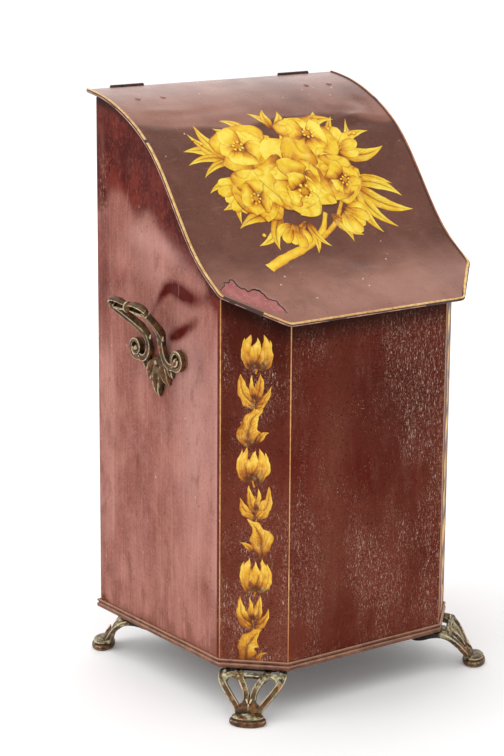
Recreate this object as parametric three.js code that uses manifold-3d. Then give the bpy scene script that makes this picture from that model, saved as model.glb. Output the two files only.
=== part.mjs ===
// Upright lidded coal box in sheet metal on four cast feet.
// Millimetres, +Z up, front towards -Y. The origin is on the floor under the
// middle of the box. Pieces are laid out in a "box" frame whose z = 0 is the
// bottom edge of the sheet body; one group lifts that frame onto the feet.
import * as THREE from "three";
import { mergeVertices } from "three/addons/utils/BufferGeometryUtils.js";
import Module from "manifold-3d";

const wasm = await Module();
wasm.setup();

// ---- driving dimensions -------------------------------------------------
const BODY_W = 270; // across the side panels
const BODY_D = 246.6; // front sheet to back panel
const CORNER = 45; // leg of each folded front corner
const SHEET = 1.0; // sheet thickness
const GAP = 0.3; // clearance between touching pieces
const FOOT_H = 46; // floor to the body's bottom edge
const RIM_LOW = 5.5; // base moulding below the bottom edge
const RIM_HIGH = 1.8; // and above it
const RIM_OUT = 2.3; // and outside the panels
const RIM_IN = 8; // width of its flange under the bottom plate
const WIRE_R = 1.5; // rolled rim of the body
const LID_HALF = 145.3; // half the lid's width
const LID_CUT_Y = -92.0; // where the lid's front corners start
const LID_FRONT_Y = -136.1; // lid's front edge
const LID_FRONT_HALF = 100.5; // half the width of that edge
const LID_ROLL_R = 1.9; // rolled edge of the lid
const HINGE_X = 98; // middle of each hinge
const HINGE_LEN = 36;
const HINGE_Y = 125.9;
const HINGE_Z = 502.6;
const BARREL_R = 2.5;
const PIN_R = 1.1;
const FOOT_REAR_IN = 36; // from a rear corner in to the foot's own zero
const HANDLE_Y = 15; // middle of each side handle
const HANDLE_Z = 271;
const LINER_HALF_X = 127;
const LINER_TOP = 240;
const LINER_FLOOR = 7;
const BAIL_Z = 247;
const BAIL_R = 2.5;

const HW = BODY_W / 2, HD = BODY_D / 2;
// the four foot pads stand symmetrically about the origin
const DIAG = Math.SQRT1_2;
const FRONT_FOOT = [HW - CORNER / 2, -(HD - CORNER / 2)];
const REAR_FOOT = [HW - FOOT_REAR_IN * DIAG, HD - FOOT_REAR_IN * DIAG];
const Y_SHIFT = -(FRONT_FOOT[1] + REAR_FOOT[1]) / 2;

// lid's top line, front to back: [y, z]
const LID_LINE = [
  [-136.1, 319.8], [-114, 331.3], [-92, 342.8], [-80, 350.3], [-70, 357.0],
  [-60, 364.8], [-50, 374.4], [-40, 386.0], [-30, 399.2], [-20, 413.1],
  [-10, 426.9], [0, 440.0], [10, 451.6], [20, 461.3], [30, 469.0],
  [40, 475.7], [50, 481.3], [60, 486.1], [70, 490.5], [80, 494.2],
  [90, 497.2], [100, 499.4], [112, 501.4], [123.3, 502.8],
];

// ---- materials ----------------------------------------------------------
const paint = new THREE.MeshStandardMaterial({ color: 0x5a2a28, roughness: 0.45, metalness: 0.1 });
const castBrass = new THREE.MeshStandardMaterial({ color: 0x7d6f52, roughness: 0.55, metalness: 0.8 });
const moulding = new THREE.MeshStandardMaterial({ color: 0x8a5f4c, roughness: 0.6, metalness: 0.5 });
const darkSteel = new THREE.MeshStandardMaterial({ color: 0x3b2f2b, roughness: 0.6, metalness: 0.7 });
const zinc = new THREE.MeshStandardMaterial({ color: 0x2c2b2a, roughness: 0.7, metalness: 0.5 });

// ---- helpers ------------------------------------------------------------
function solid(geometry) {
  let g = geometry.index ? geometry.toNonIndexed() : geometry.clone();
  g.deleteAttribute("normal");
  g.deleteAttribute("uv");
  g = mergeVertices(g, 1e-4);
  return new wasm.Manifold(new wasm.Mesh({
    numProp: 3,
    vertProperties: new Float32Array(g.attributes.position.array),
    triVerts: new Uint32Array(g.index.array),
  }));
}
function union(list) {
  return list.reduce((a, b) => a.add(b));
}
const root = new THREE.Group();
const box = new THREE.Group();
box.position.set(0, Y_SHIFT, FOOT_H);
root.add(box);
function piece(name, body, material, parent = box) {
  const m = body.getMesh();
  const g = new THREE.BufferGeometry();
  const v = new Float32Array(m.numVert * 3);
  for (let i = 0; i < m.numVert; i++)
    for (let k = 0; k < 3; k++) v[3 * i + k] = m.vertProperties[m.numProp * i + k];
  g.setAttribute("position", new THREE.BufferAttribute(v, 3));
  g.setIndex(new THREE.BufferAttribute(new Uint32Array(m.triVerts), 1));
  g.computeVertexNormals();
  const mesh = new THREE.Mesh(g, material);
  mesh.name = name;
  parent.add(mesh);
  return mesh;
}
function shapeOf(points) {
  const s = new THREE.Shape();
  points.forEach(([a, b], i) => (i ? s.lineTo(a, b) : s.moveTo(a, b)));
  s.closePath();
  return s;
}
// polygon in (x, y), raised from z0 to z1
function plate(points, z0, z1) {
  const g = new THREE.ExtrudeGeometry(shapeOf(points), { depth: z1 - z0, bevelEnabled: false });
  g.translate(0, 0, z0);
  return solid(g);
}
// polygon in (y, z), run from x0 to x1
function alongX(points, x0, x1) {
  const g = new THREE.ExtrudeGeometry(shapeOf(points), { depth: x1 - x0, bevelEnabled: false });
  g.applyMatrix4(new THREE.Matrix4().set(0, 0, 1, x0, 1, 0, 0, 0, 0, 1, 0, 0, 0, 0, 0, 1));
  return solid(g);
}
// polygon in (x, z), run from y0 to y1
function alongY(points, y0, y1) {
  const g = new THREE.ExtrudeGeometry(shapeOf(points), { depth: y1 - y0, bevelEnabled: false });
  g.applyMatrix4(new THREE.Matrix4().set(1, 0, 0, 0, 0, 0, -1, y1, 0, 1, 0, 0, 0, 0, 0, 1));
  return solid(g);
}
function block(x0, x1, y0, y1, z0, z1) {
  const g = new THREE.BoxGeometry(x1 - x0, y1 - y0, z1 - z0);
  g.translate((x0 + x1) / 2, (y0 + y1) / 2, (z0 + z1) / 2);
  return solid(g);
}
function rod(a, b, r, sides = 8) {
  const p = new THREE.Vector3(...a), q = new THREE.Vector3(...b);
  const d = q.clone().sub(p), g = new THREE.CylinderGeometry(r, r, d.length(), sides);
  g.applyQuaternion(new THREE.Quaternion().setFromUnitVectors(new THREE.Vector3(0, 1, 0), d.normalize()));
  g.translate((p.x + q.x) / 2, (p.y + q.y) / 2, (p.z + q.z) / 2);
  return solid(g);
}
function ball(c, r, scale = [1, 1, 1], w = 10, h = 6) {
  const g = new THREE.SphereGeometry(r, w, h);
  g.scale(...scale);
  g.translate(...c);
  return solid(g);
}
function tube(points, r, steps, sides = 6, squash = 1) {
  const path = new THREE.CatmullRomCurve3(points.map((p) => new THREE.Vector3(...p)));
  const ring = [];
  for (let i = 0; i < sides; i++) {
    const t = (2 * Math.PI * (i + 0.5)) / sides;
    ring.push([r * Math.cos(t), r * squash * Math.sin(t)]);
  }
  return solid(new THREE.ExtrudeGeometry(shapeOf(ring), { steps, bevelEnabled: false, extrudePath: path }));
}
function chain(points, r, sides = 8) {
  const parts = [];
  points.forEach((p, i) => {
    if (i) parts.push(rod(points[i - 1], p, r, sides));
    if (i && i < points.length - 1) parts.push(ball(p, r, [1, 1, 1], sides, 4));
  });
  return union(parts);
}
// the lid line moved square to itself by d (negative = below)
function lidOffset(d, y0 = -200, y1 = 200) {
  const n = LID_LINE.length, out = [];
  for (let i = 0; i < n; i++) {
    const a = LID_LINE[Math.max(0, i - 1)], b = LID_LINE[Math.min(n - 1, i + 1)];
    const l = Math.hypot(b[0] - a[0], b[1] - a[1]);
    out.push([LID_LINE[i][0] - (d * (b[1] - a[1])) / l, LID_LINE[i][1] + (d * (b[0] - a[0])) / l]);
  }
  const at = (y) => {
    for (let i = 1; i < n; i++)
      if (y <= out[i][0] || i === n - 1) {
        const [p, q] = [out[i - 1], out[i]];
        return p[1] + ((y - p[0]) * (q[1] - p[1])) / (q[0] - p[0]);
      }
  };
  const cut = out.filter((p) => p[0] > y0 + 0.5 && p[0] < y1 - 0.5);
  if (y0 > out[0][0]) cut.unshift([y0, at(y0)]);
  else cut.unshift(out[0]);
  if (y1 < out[n - 1][0]) cut.push([y1, at(y1)]);
  else cut.push(out[n - 1]);
  return cut;
}
const lidAt = (y, d = 0) => {
  const c = lidOffset(d, y, y + 3);
  return c[0][1];
};
// square to the lid where the hinge straps are riveted
const RIVET_Y = 86;
const RIVET_SLOPE = (lidAt(RIVET_Y + 2) - lidAt(RIVET_Y - 2)) / 4;
const RIVET_N = [0, -RIVET_SLOPE / Math.hypot(1, RIVET_SLOPE), 1 / Math.hypot(1, RIVET_SLOPE)];
function lidRivetHole(x) {
  const z = lidAt(RIVET_Y);
  const p = (t) => [x, RIVET_Y + RIVET_N[1] * t, z + RIVET_N[2] * t];
  return rod(p(-9), p(9), 1.8, 6);
}
// plan outline of the body, moved in by d
function outline(d) {
  const x = HW - d, yf = -(HD - d), yb = HD - d, c = CORNER - d * (2 - Math.SQRT2);
  return [[-x, yb], [-x, yf + c], [-x + c, yf], [x - c, yf], [x, yf + c], [x, yb]];
}

// ---- body ---------------------------------------------------------------
const TOP = -SHEET - 0.6; // highest point of the rolled rim under the lid's top line
const WIRE_MID = TOP - WIRE_R; // centre of the rolled rim
const PANEL_TOP = WIRE_MID - WIRE_R - GAP; // panels end under it

function sidePanel(sign) {
  const top = lidOffset(PANEL_TOP, -HD + CORNER + 0.4, HD - SHEET - GAP);
  const poly = [[HD - SHEET - GAP, 0], ...top.reverse(), [-HD + CORNER + 0.4, 0]].reverse();
  const a = sign > 0 ? HW - SHEET : -HW;
  return alongX(poly, a, a + SHEET);
}
for (const [side, sign] of [["left", -1], ["right", 1]]) {
  let p = sidePanel(sign);
  for (const s of [-1, 1])
    p = p.subtract(rod([sign * (HW - 4), HANDLE_Y + s * 32.5, HANDLE_Z], [sign * (HW + 4), HANDLE_Y + s * 32.5, HANDLE_Z], 1.8, 6));
  piece(`${side}_side_panel`, p, paint);
  const line = lidOffset(WIRE_MID, -HD + CORNER, HD - 4).map(([y, z]) => [sign * (HW - WIRE_R - 0.1), y, z]);
  piece(`${side}_rim_roll`, tube(line, WIRE_R, 18, 5), paint);
}
{
  // front sheet with its two folded corners
  const o = outline(0), i = outline(SHEET);
  const loop = [o[1], o[2], o[3], o[4], i[4], i[3], i[2], i[1]];
  const wall = plate(loop, 0, 380);
  const line = lidOffset(PANEL_TOP, -HD - 6, -HD + CORNER + 8);
  const under = [...line, [line[line.length - 1][0], -20], [line[0][0], -20]].reverse();
  let sheet = wall.intersect(alongX(under, -HW - 5, HW + 5));
  // stop a hair short of the side panels
  sheet = sheet.intersect(block(-HW - 1, HW + 1, -HD - 1, -HD + CORNER + 0.1, -1, 400));
  piece("front_sheet", sheet, paint);
  const at = (x, y) => [x, y, lidAt(y, WIRE_MID) - 0.5];
  const m = outline(WIRE_R + 0.1);
  piece("front_rim_roll", chain([
    at(m[1][0] + 1.2, m[1][1] - 2.2), at(m[2][0], m[2][1]), at(m[3][0], m[3][1]), at(m[4][0] - 1.2, m[4][1] - 2.2),
  ], WIRE_R, 6), paint);
}
{
  let back = alongY([[-HW, 0], [HW, 0], [HW, 494], [-HW, 494]], HD - SHEET, HD);
  for (const s of [-1, 1]) for (const t of [-1, 1])
    back = back.subtract(rod([s * HINGE_X + t * 11, HD - 4, 482], [s * HINGE_X + t * 11, HD + 4, 482], 1.8, 6));
  piece("back_panel", back, paint);
  piece("back_rim_roll", rod([-HW + 4, HD - 2.2, 494 + GAP + WIRE_R], [HW - 4, HD - 2.2, 494 + GAP + WIRE_R], WIRE_R, 8), paint);
}
{
  let floor = plate(outline(SHEET + GAP), -1.0, 0.0);
  let ring = plate(outline(-RIM_OUT), -RIM_LOW, RIM_HIGH).subtract(plate(outline(-GAP), -1 - GAP, RIM_HIGH + 2))
    .subtract(plate(outline(RIM_IN), -RIM_LOW - 2, RIM_HIGH + 2));
  for (const s of [-1, 1]) for (const p of [FRONT_FOOT, REAR_FOOT]) {
    const dy = Math.sign(p[1]);
    const c = [p[0] - 20 * DIAG, p[1] - dy * 20 * DIAG];
    floor = floor.subtract(rod([s * c[0], c[1], -12], [s * c[0], c[1], 12], 2.9, 8));
  }
  piece("bottom_plate", floor, paint);
  piece("base_moulding", ring, moulding);
}

// ---- lid ----------------------------------------------------------------
{
  const in_ = 2 * LID_ROLL_R + GAP - 0.4; // the sheet stops inside its rolled edge
  const upper = lidOffset(0, LID_FRONT_Y + in_, 200), lower = lidOffset(-SHEET, LID_FRONT_Y + in_, 200);
  let sheet = alongX([...lower, ...upper.reverse()], -LID_HALF + in_, LID_HALF - in_);
  const k = in_ * (Math.SQRT2 - 1);
  const plan = [[-LID_HALF, 140], [-LID_HALF, LID_CUT_Y + k], [-LID_HALF + in_, LID_CUT_Y + k], [-LID_FRONT_HALF + k, LID_FRONT_Y + in_], [-LID_FRONT_HALF + k, LID_FRONT_Y - 9],
    [LID_FRONT_HALF - k, LID_FRONT_Y - 9], [LID_FRONT_HALF - k, LID_FRONT_Y + in_], [LID_HALF - in_, LID_CUT_Y + k], [LID_HALF, LID_CUT_Y + k], [LID_HALF, 140]];
  sheet = sheet.intersect(plate(plan, 200, 600));
  for (const s of [-1, 1]) {
    // notch that lets the hinge barrel stand at the lid's back edge
    sheet = sheet.subtract(block(s * HINGE_X - HINGE_LEN / 2 - 0.6, s * HINGE_X + HINGE_LEN / 2 + 0.6, 122.2, 140, 480, 520));
    for (const t of [-1, 1]) sheet = sheet.subtract(lidRivetHole(s * HINGE_X + t * 14));
  }
  piece("lid_sheet", sheet, paint);
  // rolled edge round both sides and the front
  const r = LID_ROLL_R, mid = -SHEET / 2 - 0.2;
  const xs = LID_HALF - r, xf = LID_FRONT_HALF - r * (Math.SQRT2 - 1), yc = LID_CUT_Y + r * (Math.SQRT2 - 1), yf = LID_FRONT_Y + r;
  const pts = lidOffset(mid, yc, 200).filter((p, i, a) => i === 0 || i === a.length - 1 || i % 2 === 0);
  const roll = [];
  for (const s of [-1, 1]) {
    const side = pts.map(([y, z]) => [s * xs, y, z]);
    roll.push(tube(side, r, 18, 6));
    roll.push(ball(side[0], r, [1, 1, 1], 6, 4));
    roll.push(rod(side[0], [s * xf, yf, lidAt(yf, mid)], r, 6), ball([s * xf, yf, lidAt(yf, mid)], r, [1, 1, 1], 6, 4));
  }
  roll.push(rod([-xf, yf, lidAt(yf, mid)], [xf, yf, lidAt(yf, mid)], r, 6));
  piece("lid_rolled_edge", union(roll), paint);
}

// ---- hinges -------------------------------------------------------------
for (const [side, sign] of [["left", -1], ["right", 1]]) {
  const x0 = sign * HINGE_X - HINGE_LEN / 2, x1 = x0 + HINGE_LEN;
  const knuckle = (a, b) => rod([a, HINGE_Y, HINGE_Z], [b, HINGE_Y, HINGE_Z], BARREL_R, 12);
  const bore = rod([x0 - 2, HINGE_Y, HINGE_Z], [x1 + 2, HINGE_Y, HINGE_Z], PIN_R + 0.3, 10);
  const third = HINGE_LEN / 3;
  // body leaf: outer knuckles and a plate outside the back panel
  let body = block(x0, x1, HD + GAP, HD + GAP + 1.0, 470, 499.6);
  for (const [a, b] of [[x0, x0 + third - 0.2], [x1 - third + 0.2, x1]])
    body = union([body, knuckle(a, b), block(a, b, HD + GAP, HD + GAP + 1.0, 499, HINGE_Z)]);
  body = body.subtract(bore);
  for (const t of [-1, 1])
    body = body.subtract(rod([sign * HINGE_X + t * 11, HD - 4, 482], [sign * HINGE_X + t * 11, HD + 4, 482], 1.8, 6));
  piece(`${side}_hinge_body_leaf`, body, darkSteel);
  // lid leaf: middle knuckle and a strap under the lid
  const up = lidOffset(-SHEET - GAP, 78, 121.5), low = lidOffset(-SHEET - GAP - 1.0, 78, 121.5);
  let strap = alongX([...low, ...up.reverse()], x0, x1);
  const tail = lidOffset(-SHEET - GAP, 120, 123.3), tailLow = lidOffset(-SHEET - GAP - 1.0, 120, 123.3);
  strap = union([strap, alongX([...tailLow, [HINGE_Y, tailLow[1][1] + 0.1], [HINGE_Y, tail[1][1]], ...tail.reverse()], x0 + third + 0.2, x1 - third - 0.2),
    knuckle(x0 + third + 0.2, x1 - third - 0.2)]);
  strap = strap.subtract(bore);
  for (const t of [-1, 1])
    strap = strap.subtract(lidRivetHole(sign * HINGE_X + t * 14));
  piece(`${side}_hinge_lid_leaf`, strap, darkSteel);
  piece(`${side}_hinge_pin`, rod([x0 - 0.4, HINGE_Y, HINGE_Z], [x1 + 0.4, HINGE_Y, HINGE_Z], PIN_R, 10), darkSteel);
  // rivets: shank through both sheets, a head at each end
  const rivet = (a, n, h0, h1, r = 3.2) => {
    const p = (t) => [a[0] + n[0] * t, a[1] + n[1] * t, a[2] + n[2] * t];
    return union([rod(p(h0), p(h1), 1.3, 6), rod(p(h0), p(h0 + 1.0), r - 0.6, 6), rod(p(h1 - 1.2), p(h1), r, 6)]);
  };
  for (const [tag, t] of [["a", -1], ["b", 1]]) {
    piece(`${side}_lid_rivet_${tag}`, rivet([sign * HINGE_X + t * 14, RIVET_Y, lidAt(RIVET_Y)], RIVET_N, -SHEET - 2 * GAP - 1 - 1.1, GAP + 1.3), darkSteel);
    piece(`${side}_back_rivet_${tag}`, rivet([sign * HINGE_X + t * 11, HD, 482], [0, 1, 0], -SHEET - GAP - 1.0, 2 * GAP + 1.0 + 1.2), darkSteel);
  }
}

// ---- feet ---------------------------------------------------------------
// own frame: +x outwards, z = 0 on the floor, x = 0 under the corner's face
function footCasting() {
  const pad = new THREE.LatheGeometry([[0, 0], [10.5, 0], [11, 1.4], [11, 4.4], [9.4, 6.2], [0, 6.8]].map((p) => new THREE.Vector2(...p)), 16);
  pad.rotateX(Math.PI / 2);
  pad.scale(1, 17 / 11, 1);
  pad.translate(33, 0, 0);
  const parts = [solid(pad), ball([27.5, 0, 7.5], 1, [6, 12.6, 7.5], 10, 6)];
  for (const s of [-1, 1]) {
    parts.push(tube([[27, 9 * s, 7], [24.6, 11.5 * s, 13], [20.5, 18 * s, 20.5], [14.5, 25 * s, 29], [8, 27.6 * s, 34.6], [0, 27 * s, 36.4], [-9, 26 * s, 35], [-17, 25 * s, 31.6], [-25, 23.5 * s, 31], [-33, 21 * s, 37.5]], 2.9, 11, 5));
    parts.push(tube([[27, 3.4 * s, 7], [24.4, 3.5 * s, 14], [20.5, 4.6 * s, 22], [15.5, 7.5 * s, 30], [9.5, 11 * s, 35.4], [0, 12.5 * s, 36.8], [-10, 13 * s, 37.6]], 2.7, 7, 5));
    parts.push(tube([[12, 26 * s, 32], [8, 22.6 * s, 36.4], [7.4, 18.5 * s, 37.2], [8, 14 * s, 36.8], [9.5, 11 * s, 35]], 2.5, 4, 5));
  }
  parts.push(rod([7.6, -12, 36.4], [7.6, 12, 36.4], 2.4, 5));
  parts.push(block(-36, -5, -24, 24, 36.4, FOOT_H - RIM_LOW - GAP));
  const cyl = rod([-20, 0, 37], [-20, 0, FOOT_H - 1 - GAP], 7, 8);
  return union([...parts, cyl]).subtract(rod([-20, 0, 30], [-20, 0, 60], 2.9, 6));
}
const casting = footCasting();
const feet = [
  ["front_left", -FRONT_FOOT[0], FRONT_FOOT[1], -135], ["front_right", FRONT_FOOT[0], FRONT_FOOT[1], -45],
  ["rear_left", -REAR_FOOT[0], REAR_FOOT[1], 135], ["rear_right", REAR_FOOT[0], REAR_FOOT[1], 45],
];
for (const [where, x, y, turn] of feet) {
  const g = new THREE.Group();
  g.position.set(x, y, -FOOT_H);
  g.rotation.z = (turn * Math.PI) / 180;
  box.add(g);
  piece(`foot_${where}`, casting, castBrass, g);
  piece(`foot_bolt_${where}`, union([rod([-20, 0, 32.4], [-20, 0, 36.1], 5, 6), rod([-20, 0, 36], [-20, 0, 51], 2.5, 8)]), darkSteel, g);
  piece(`foot_nut_${where}`, rod([-20, 0, FOOT_H + GAP], [-20, 0, FOOT_H + 4], 5, 6).subtract(rod([-20, 0, 40], [-20, 0, 60], 2.9, 8)), darkSteel, g);
}

// ---- side handles -------------------------------------------------------
// own frame: +x out from the panel, y along it, z up from the scroll centres
function handleCasting() {
  const parts = [];
  for (const s of [-1, 1]) {
    parts.push(ball([4.6, 32.5 * s, 0], 1, [4.3, 9.6, 9.6], 8, 6));
    parts.push(tube([[4.6, 27 * s, -6], [4.2, 21 * s, -7.6], [4.2, 13.5 * s, -3], [5, 10.5 * s, 6], [7, 12 * s, 15], [11, 16.5 * s, 23], [20, 21.5 * s, 32], [30, 25.5 * s, 41], [36, 26 * s, 46.5]], 3.1, 11, 5));
    parts.push(tube([[36, 27.5 * s, 46], [37.5, 20 * s, 48.5], [37, 10 * s, 48.6], [36.4, 0, 47.6]], 4.2, 4, 6));
    parts.push(ball([4.2, 15 * s, -15], 1, [3.8, 6.5, 8.5], 8, 4));
  }
  parts.push(ball([36.6, 0, 47.6], 1, [5.6, 3.4, 5.6], 8, 6));
  parts.push(ball([4, 0, -9], 1, [3.6, 11, 7], 8, 4));
  parts.push(ball([3.8, 0, -26], 1, [3.4, 7.5, 14], 8, 6));
  let c = union(parts);
  c = c.intersect(block(0.3, 60, -60, 60, -60, 90));
  for (const s of [-1, 1]) c = c.subtract(rod([-2, 32.5 * s, 0], [6, 32.5 * s, 0], 1.8, 6));
  return c;
}
const handle = handleCasting();
for (const [side, sign] of [["left", -1], ["right", 1]]) {
  const g = new THREE.Group();
  g.position.set(sign * HW, HANDLE_Y, HANDLE_Z);
  if (sign < 0) g.rotation.z = Math.PI;
  box.add(g);
  piece(`${side}_handle`, handle, castBrass, g);
  for (const [tag, s] of [["front", -1], ["rear", 1]]) {
    const t = s * -1 * (sign < 0 ? 1 : -1);
    piece(`${side}_handle_rivet_${tag}`, union([rod([-SHEET - GAP - 0.1, 32.5 * t, 0], [5.6, 32.5 * t, 0], 1.3, 6), rod([-SHEET - GAP - 1.4, 32.5 * t, 0], [-SHEET - GAP, 32.5 * t, 0], 3.4, 6)]), darkSteel, g);
  }
}

// ---- lift-out liner -----------------------------------------------------
{
  const off = HW - LINER_HALF_X;
  const outer = outline(off), inner = outline(off + SHEET);
  let pan = plate(outer, LINER_FLOOR, LINER_TOP).subtract(plate(inner, LINER_FLOOR + SHEET, LINER_TOP + 5));
  // turned rim
  pan = pan.add(plate(outline(off - 1.8), LINER_TOP - 3.2, LINER_TOP).subtract(plate(inner, LINER_TOP - 6, LINER_TOP + 5)));
  for (const s of [-1, 1]) for (const t of [-1, 1])
    pan = pan.subtract(rod([s * (LINER_HALF_X - 6), t * 9, 228], [s * (LINER_HALF_X + 6), t * 9, 228], 1.8, 6));
  piece("coal_liner", pan, zinc);
  for (const [side, sign] of [["left", -1], ["right", 1]]) {
    // ear inside the liner wall, its eye standing above the rim
    const xi = LINER_HALF_X - SHEET - GAP;
    const yz = [[-14, 220], [14, 220], [14, 236], [6, BAIL_Z + 3], [3, BAIL_Z + 5.5], [-3, BAIL_Z + 5.5], [-6, BAIL_Z + 3], [-14, 236]];
    let ear = alongX(yz, sign > 0 ? xi - 1.5 : -xi, sign > 0 ? xi : -xi + 1.5);
    ear = ear.subtract(rod([sign * (xi - 6), 0, BAIL_Z], [sign * (xi + 6), 0, BAIL_Z], BAIL_R + 0.4, 10));
    for (const t of [-1, 1]) ear = ear.subtract(rod([sign * (xi - 6), t * 9, 228], [sign * (xi + 6), t * 9, 228], 1.8, 6));
    piece(`${side}_bail_ear`, ear, zinc);
    for (const [tag, t] of [["front", -1], ["rear", 1]])
      piece(`${side}_ear_rivet_${tag}`, union([
        rod([sign * (xi - 1.5 - GAP - 1.2), t * 9, 228], [sign * (xi - 1.5 - GAP), t * 9, 228], 3.2, 6),
        rod([sign * (xi - 1.5 - GAP - 0.1), t * 9, 228], [sign * (LINER_HALF_X + GAP + 0.1), t * 9, 228], 1.3, 6),
        rod([sign * (LINER_HALF_X + GAP), t * 9, 228], [sign * (LINER_HALF_X + GAP + 1.0), t * 9, 228], 3.0, 6)]), darkSteel);
  }
  // bail wire, folded back on the liner's rim
  const xa = LINER_HALF_X - SHEET - GAP - 1.5 - 0.6 - BAIL_R;
  const z = BAIL_Z, yb = 107;
  piece("liner_bail", union([
    rod([LINER_HALF_X + 2.2, 0, z], [xa, 0, z], BAIL_R, 8), rod([-LINER_HALF_X - 2.2, 0, z], [-xa, 0, z], BAIL_R, 8),
    ball([xa, 0, z], BAIL_R, [1, 1, 1], 6, 4), ball([-xa, 0, z], BAIL_R, [1, 1, 1], 6, 4),
    chain([[-xa, 0, z], [-xa, yb - 22, z], [-xa + 22, yb, z], [xa - 22, yb, z], [xa, yb - 22, z], [xa, 0, z]], BAIL_R, 6),
  ]), darkSteel);
}

export default root;
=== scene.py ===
import bpy
import bmesh
import math
import numpy as np
from mathutils import Matrix, Vector

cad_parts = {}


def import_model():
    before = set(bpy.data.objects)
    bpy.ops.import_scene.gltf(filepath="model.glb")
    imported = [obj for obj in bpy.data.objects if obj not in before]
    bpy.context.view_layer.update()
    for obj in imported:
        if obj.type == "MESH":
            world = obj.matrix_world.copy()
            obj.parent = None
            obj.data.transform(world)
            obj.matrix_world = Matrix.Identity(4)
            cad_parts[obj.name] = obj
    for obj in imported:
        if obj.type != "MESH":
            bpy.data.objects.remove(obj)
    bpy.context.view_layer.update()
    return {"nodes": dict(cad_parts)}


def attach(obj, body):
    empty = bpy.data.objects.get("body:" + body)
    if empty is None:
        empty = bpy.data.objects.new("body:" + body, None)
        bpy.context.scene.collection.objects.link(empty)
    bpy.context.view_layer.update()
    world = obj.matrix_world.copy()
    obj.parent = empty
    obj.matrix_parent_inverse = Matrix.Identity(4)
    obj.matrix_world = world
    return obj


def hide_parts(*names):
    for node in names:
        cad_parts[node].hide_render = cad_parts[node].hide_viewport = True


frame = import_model()

# ---------------------------------------------------------------- dimensions
Y_SHIFT, FOOT_H = 1.4779, 46.0
HW, HD, CORNER = 135.0, 123.3, 45.0
SHEET = 1.0
FOLD_R = 2.2
LID_HALF, LID_CUT_Y, LID_FRONT_Y, LID_FRONT_HALF = 145.3, -92.0, -136.1, 100.5
ROLL_R = 1.9
HINGE_X, HINGE_Y, HINGE_Z, HINGE_LEN, BARREL_R = 98.0, 125.9, 502.6, 36.0, 2.5
FRONT_FOOT, REAR_FOOT = (112.5, -100.8), (109.544, 97.844)
HANDLE_Y, HANDLE_Z = 15.0, 271.0
LID_LINE = [
    (-136.1, 319.8), (-114, 331.3), (-92, 342.8), (-80, 350.3), (-70, 357.0),
    (-60, 364.8), (-50, 374.4), (-40, 386.0), (-30, 399.2), (-20, 413.1),
    (-10, 426.9), (0, 440.0), (10, 451.6), (20, 461.3), (30, 469.0),
    (40, 475.7), (50, 481.3), (60, 486.1), (70, 490.5), (80, 494.2),
    (90, 497.2), (100, 499.4), (112, 501.4), (123.3, 502.8),
]


def world(p):
    p = np.asarray(p, float)
    return (p + np.array([0.0, Y_SHIFT, FOOT_H])) * 0.001


# ---------------------------------------------------------------- numbers
def table_noise(seed, size=64):
    return np.random.default_rng(seed).uniform(-1, 1, (size, size))


def noise2(x, y, cell, seed):
    """Smooth noise of two coordinates, from -1 to 1, with features about cell across."""
    t = table_noise(seed)
    n = t.shape[0]
    u, v = np.asarray(x, float) / cell + 7.3, np.asarray(y, float) / cell + 3.1
    i, j = np.floor(u).astype(int), np.floor(v).astype(int)
    a, b = u - i, v - j
    a, b = a * a * a * (a * (a * 6 - 15) + 10), b * b * b * (b * (b * 6 - 15) + 10)
    i0, i1, j0, j1 = i % n, (i + 1) % n, j % n, (j + 1) % n
    return (t[i0, j0] * (1 - a) + t[i1, j0] * a) * (1 - b) + (t[i0, j1] * (1 - a) + t[i1, j1] * a) * b


def smooth(a, b, x):
    t = np.clip((np.asarray(x, float) - a) / (b - a), 0, 1)
    return t * t * (3 - 2 * t)


def bump(x, y, cx, cy, rx, ry, turn=0.0):
    """A soft mound, 1 in its middle."""
    c, s = math.cos(turn), math.sin(turn)
    dx, dy = x - cx, y - cy
    u, v = (c * dx + s * dy) / rx, (-s * dx + c * dy) / ry
    return np.exp(-(u * u + v * v))


def resample(points, step):
    p = np.asarray(points, float)
    seg = np.linalg.norm(np.diff(p, axis=0), axis=1)
    s = np.r_[0, np.cumsum(seg)]
    n = max(2, int(round(s[-1] / step)) + 1)
    t = np.linspace(0, s[-1], n)
    return np.stack([np.interp(t, s, p[:, k]) for k in range(p.shape[1])], 1)


def catmull(points, per=8, closed=False):
    """A smooth curve through the points."""
    p = np.asarray(points, float)
    if closed:
        q = np.vstack([p[-1], p, p[0], p[1]])
    else:
        q = np.vstack([2 * p[0] - p[1], p, 2 * p[-1] - p[-2]])
    out = []
    n = len(q) - 3
    for i in range(n):
        a, b, c, d = q[i:i + 4]
        for k in range(per):
            t = k / per
            out.append(0.5 * (2 * b + (c - a) * t + (2 * a - 5 * b + 4 * c - d) * t * t + (3 * b - a - 3 * c + d) * t ** 3))
    if not closed:
        out.append(q[-2])
    return np.array(out)


# ---------------------------------------------------------------- lid surface
def _lid_curve():
    step = 0.5
    p = resample(LID_LINE, step)
    sigma, w = 5.0, 30
    k = np.exp(-0.5 * (np.arange(-w, w + 1) * step / sigma) ** 2)
    k /= k.sum()
    out = []
    for c in p.T:
        a = c[0] - (c[1] - c[0]) * np.arange(w, 0, -1)
        b = c[-1] + (c[-1] - c[-2]) * np.arange(1, w + 1)
        out.append(np.convolve(np.r_[a, c, b], k, "valid"))
    return resample(np.array(out).T, step)


LC = _lid_curve()
LS = np.r_[0, np.cumsum(np.linalg.norm(np.diff(LC, axis=0), axis=1))]
LT = np.gradient(LC, axis=0)
LT /= np.linalg.norm(LT, axis=1)[:, None]
LNY, LNZ = -LT[:, 1], LT[:, 0]
LID_LEN = LS[-1]


def lid_s(y):
    return np.interp(y, LC[:, 0], LS)


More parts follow.
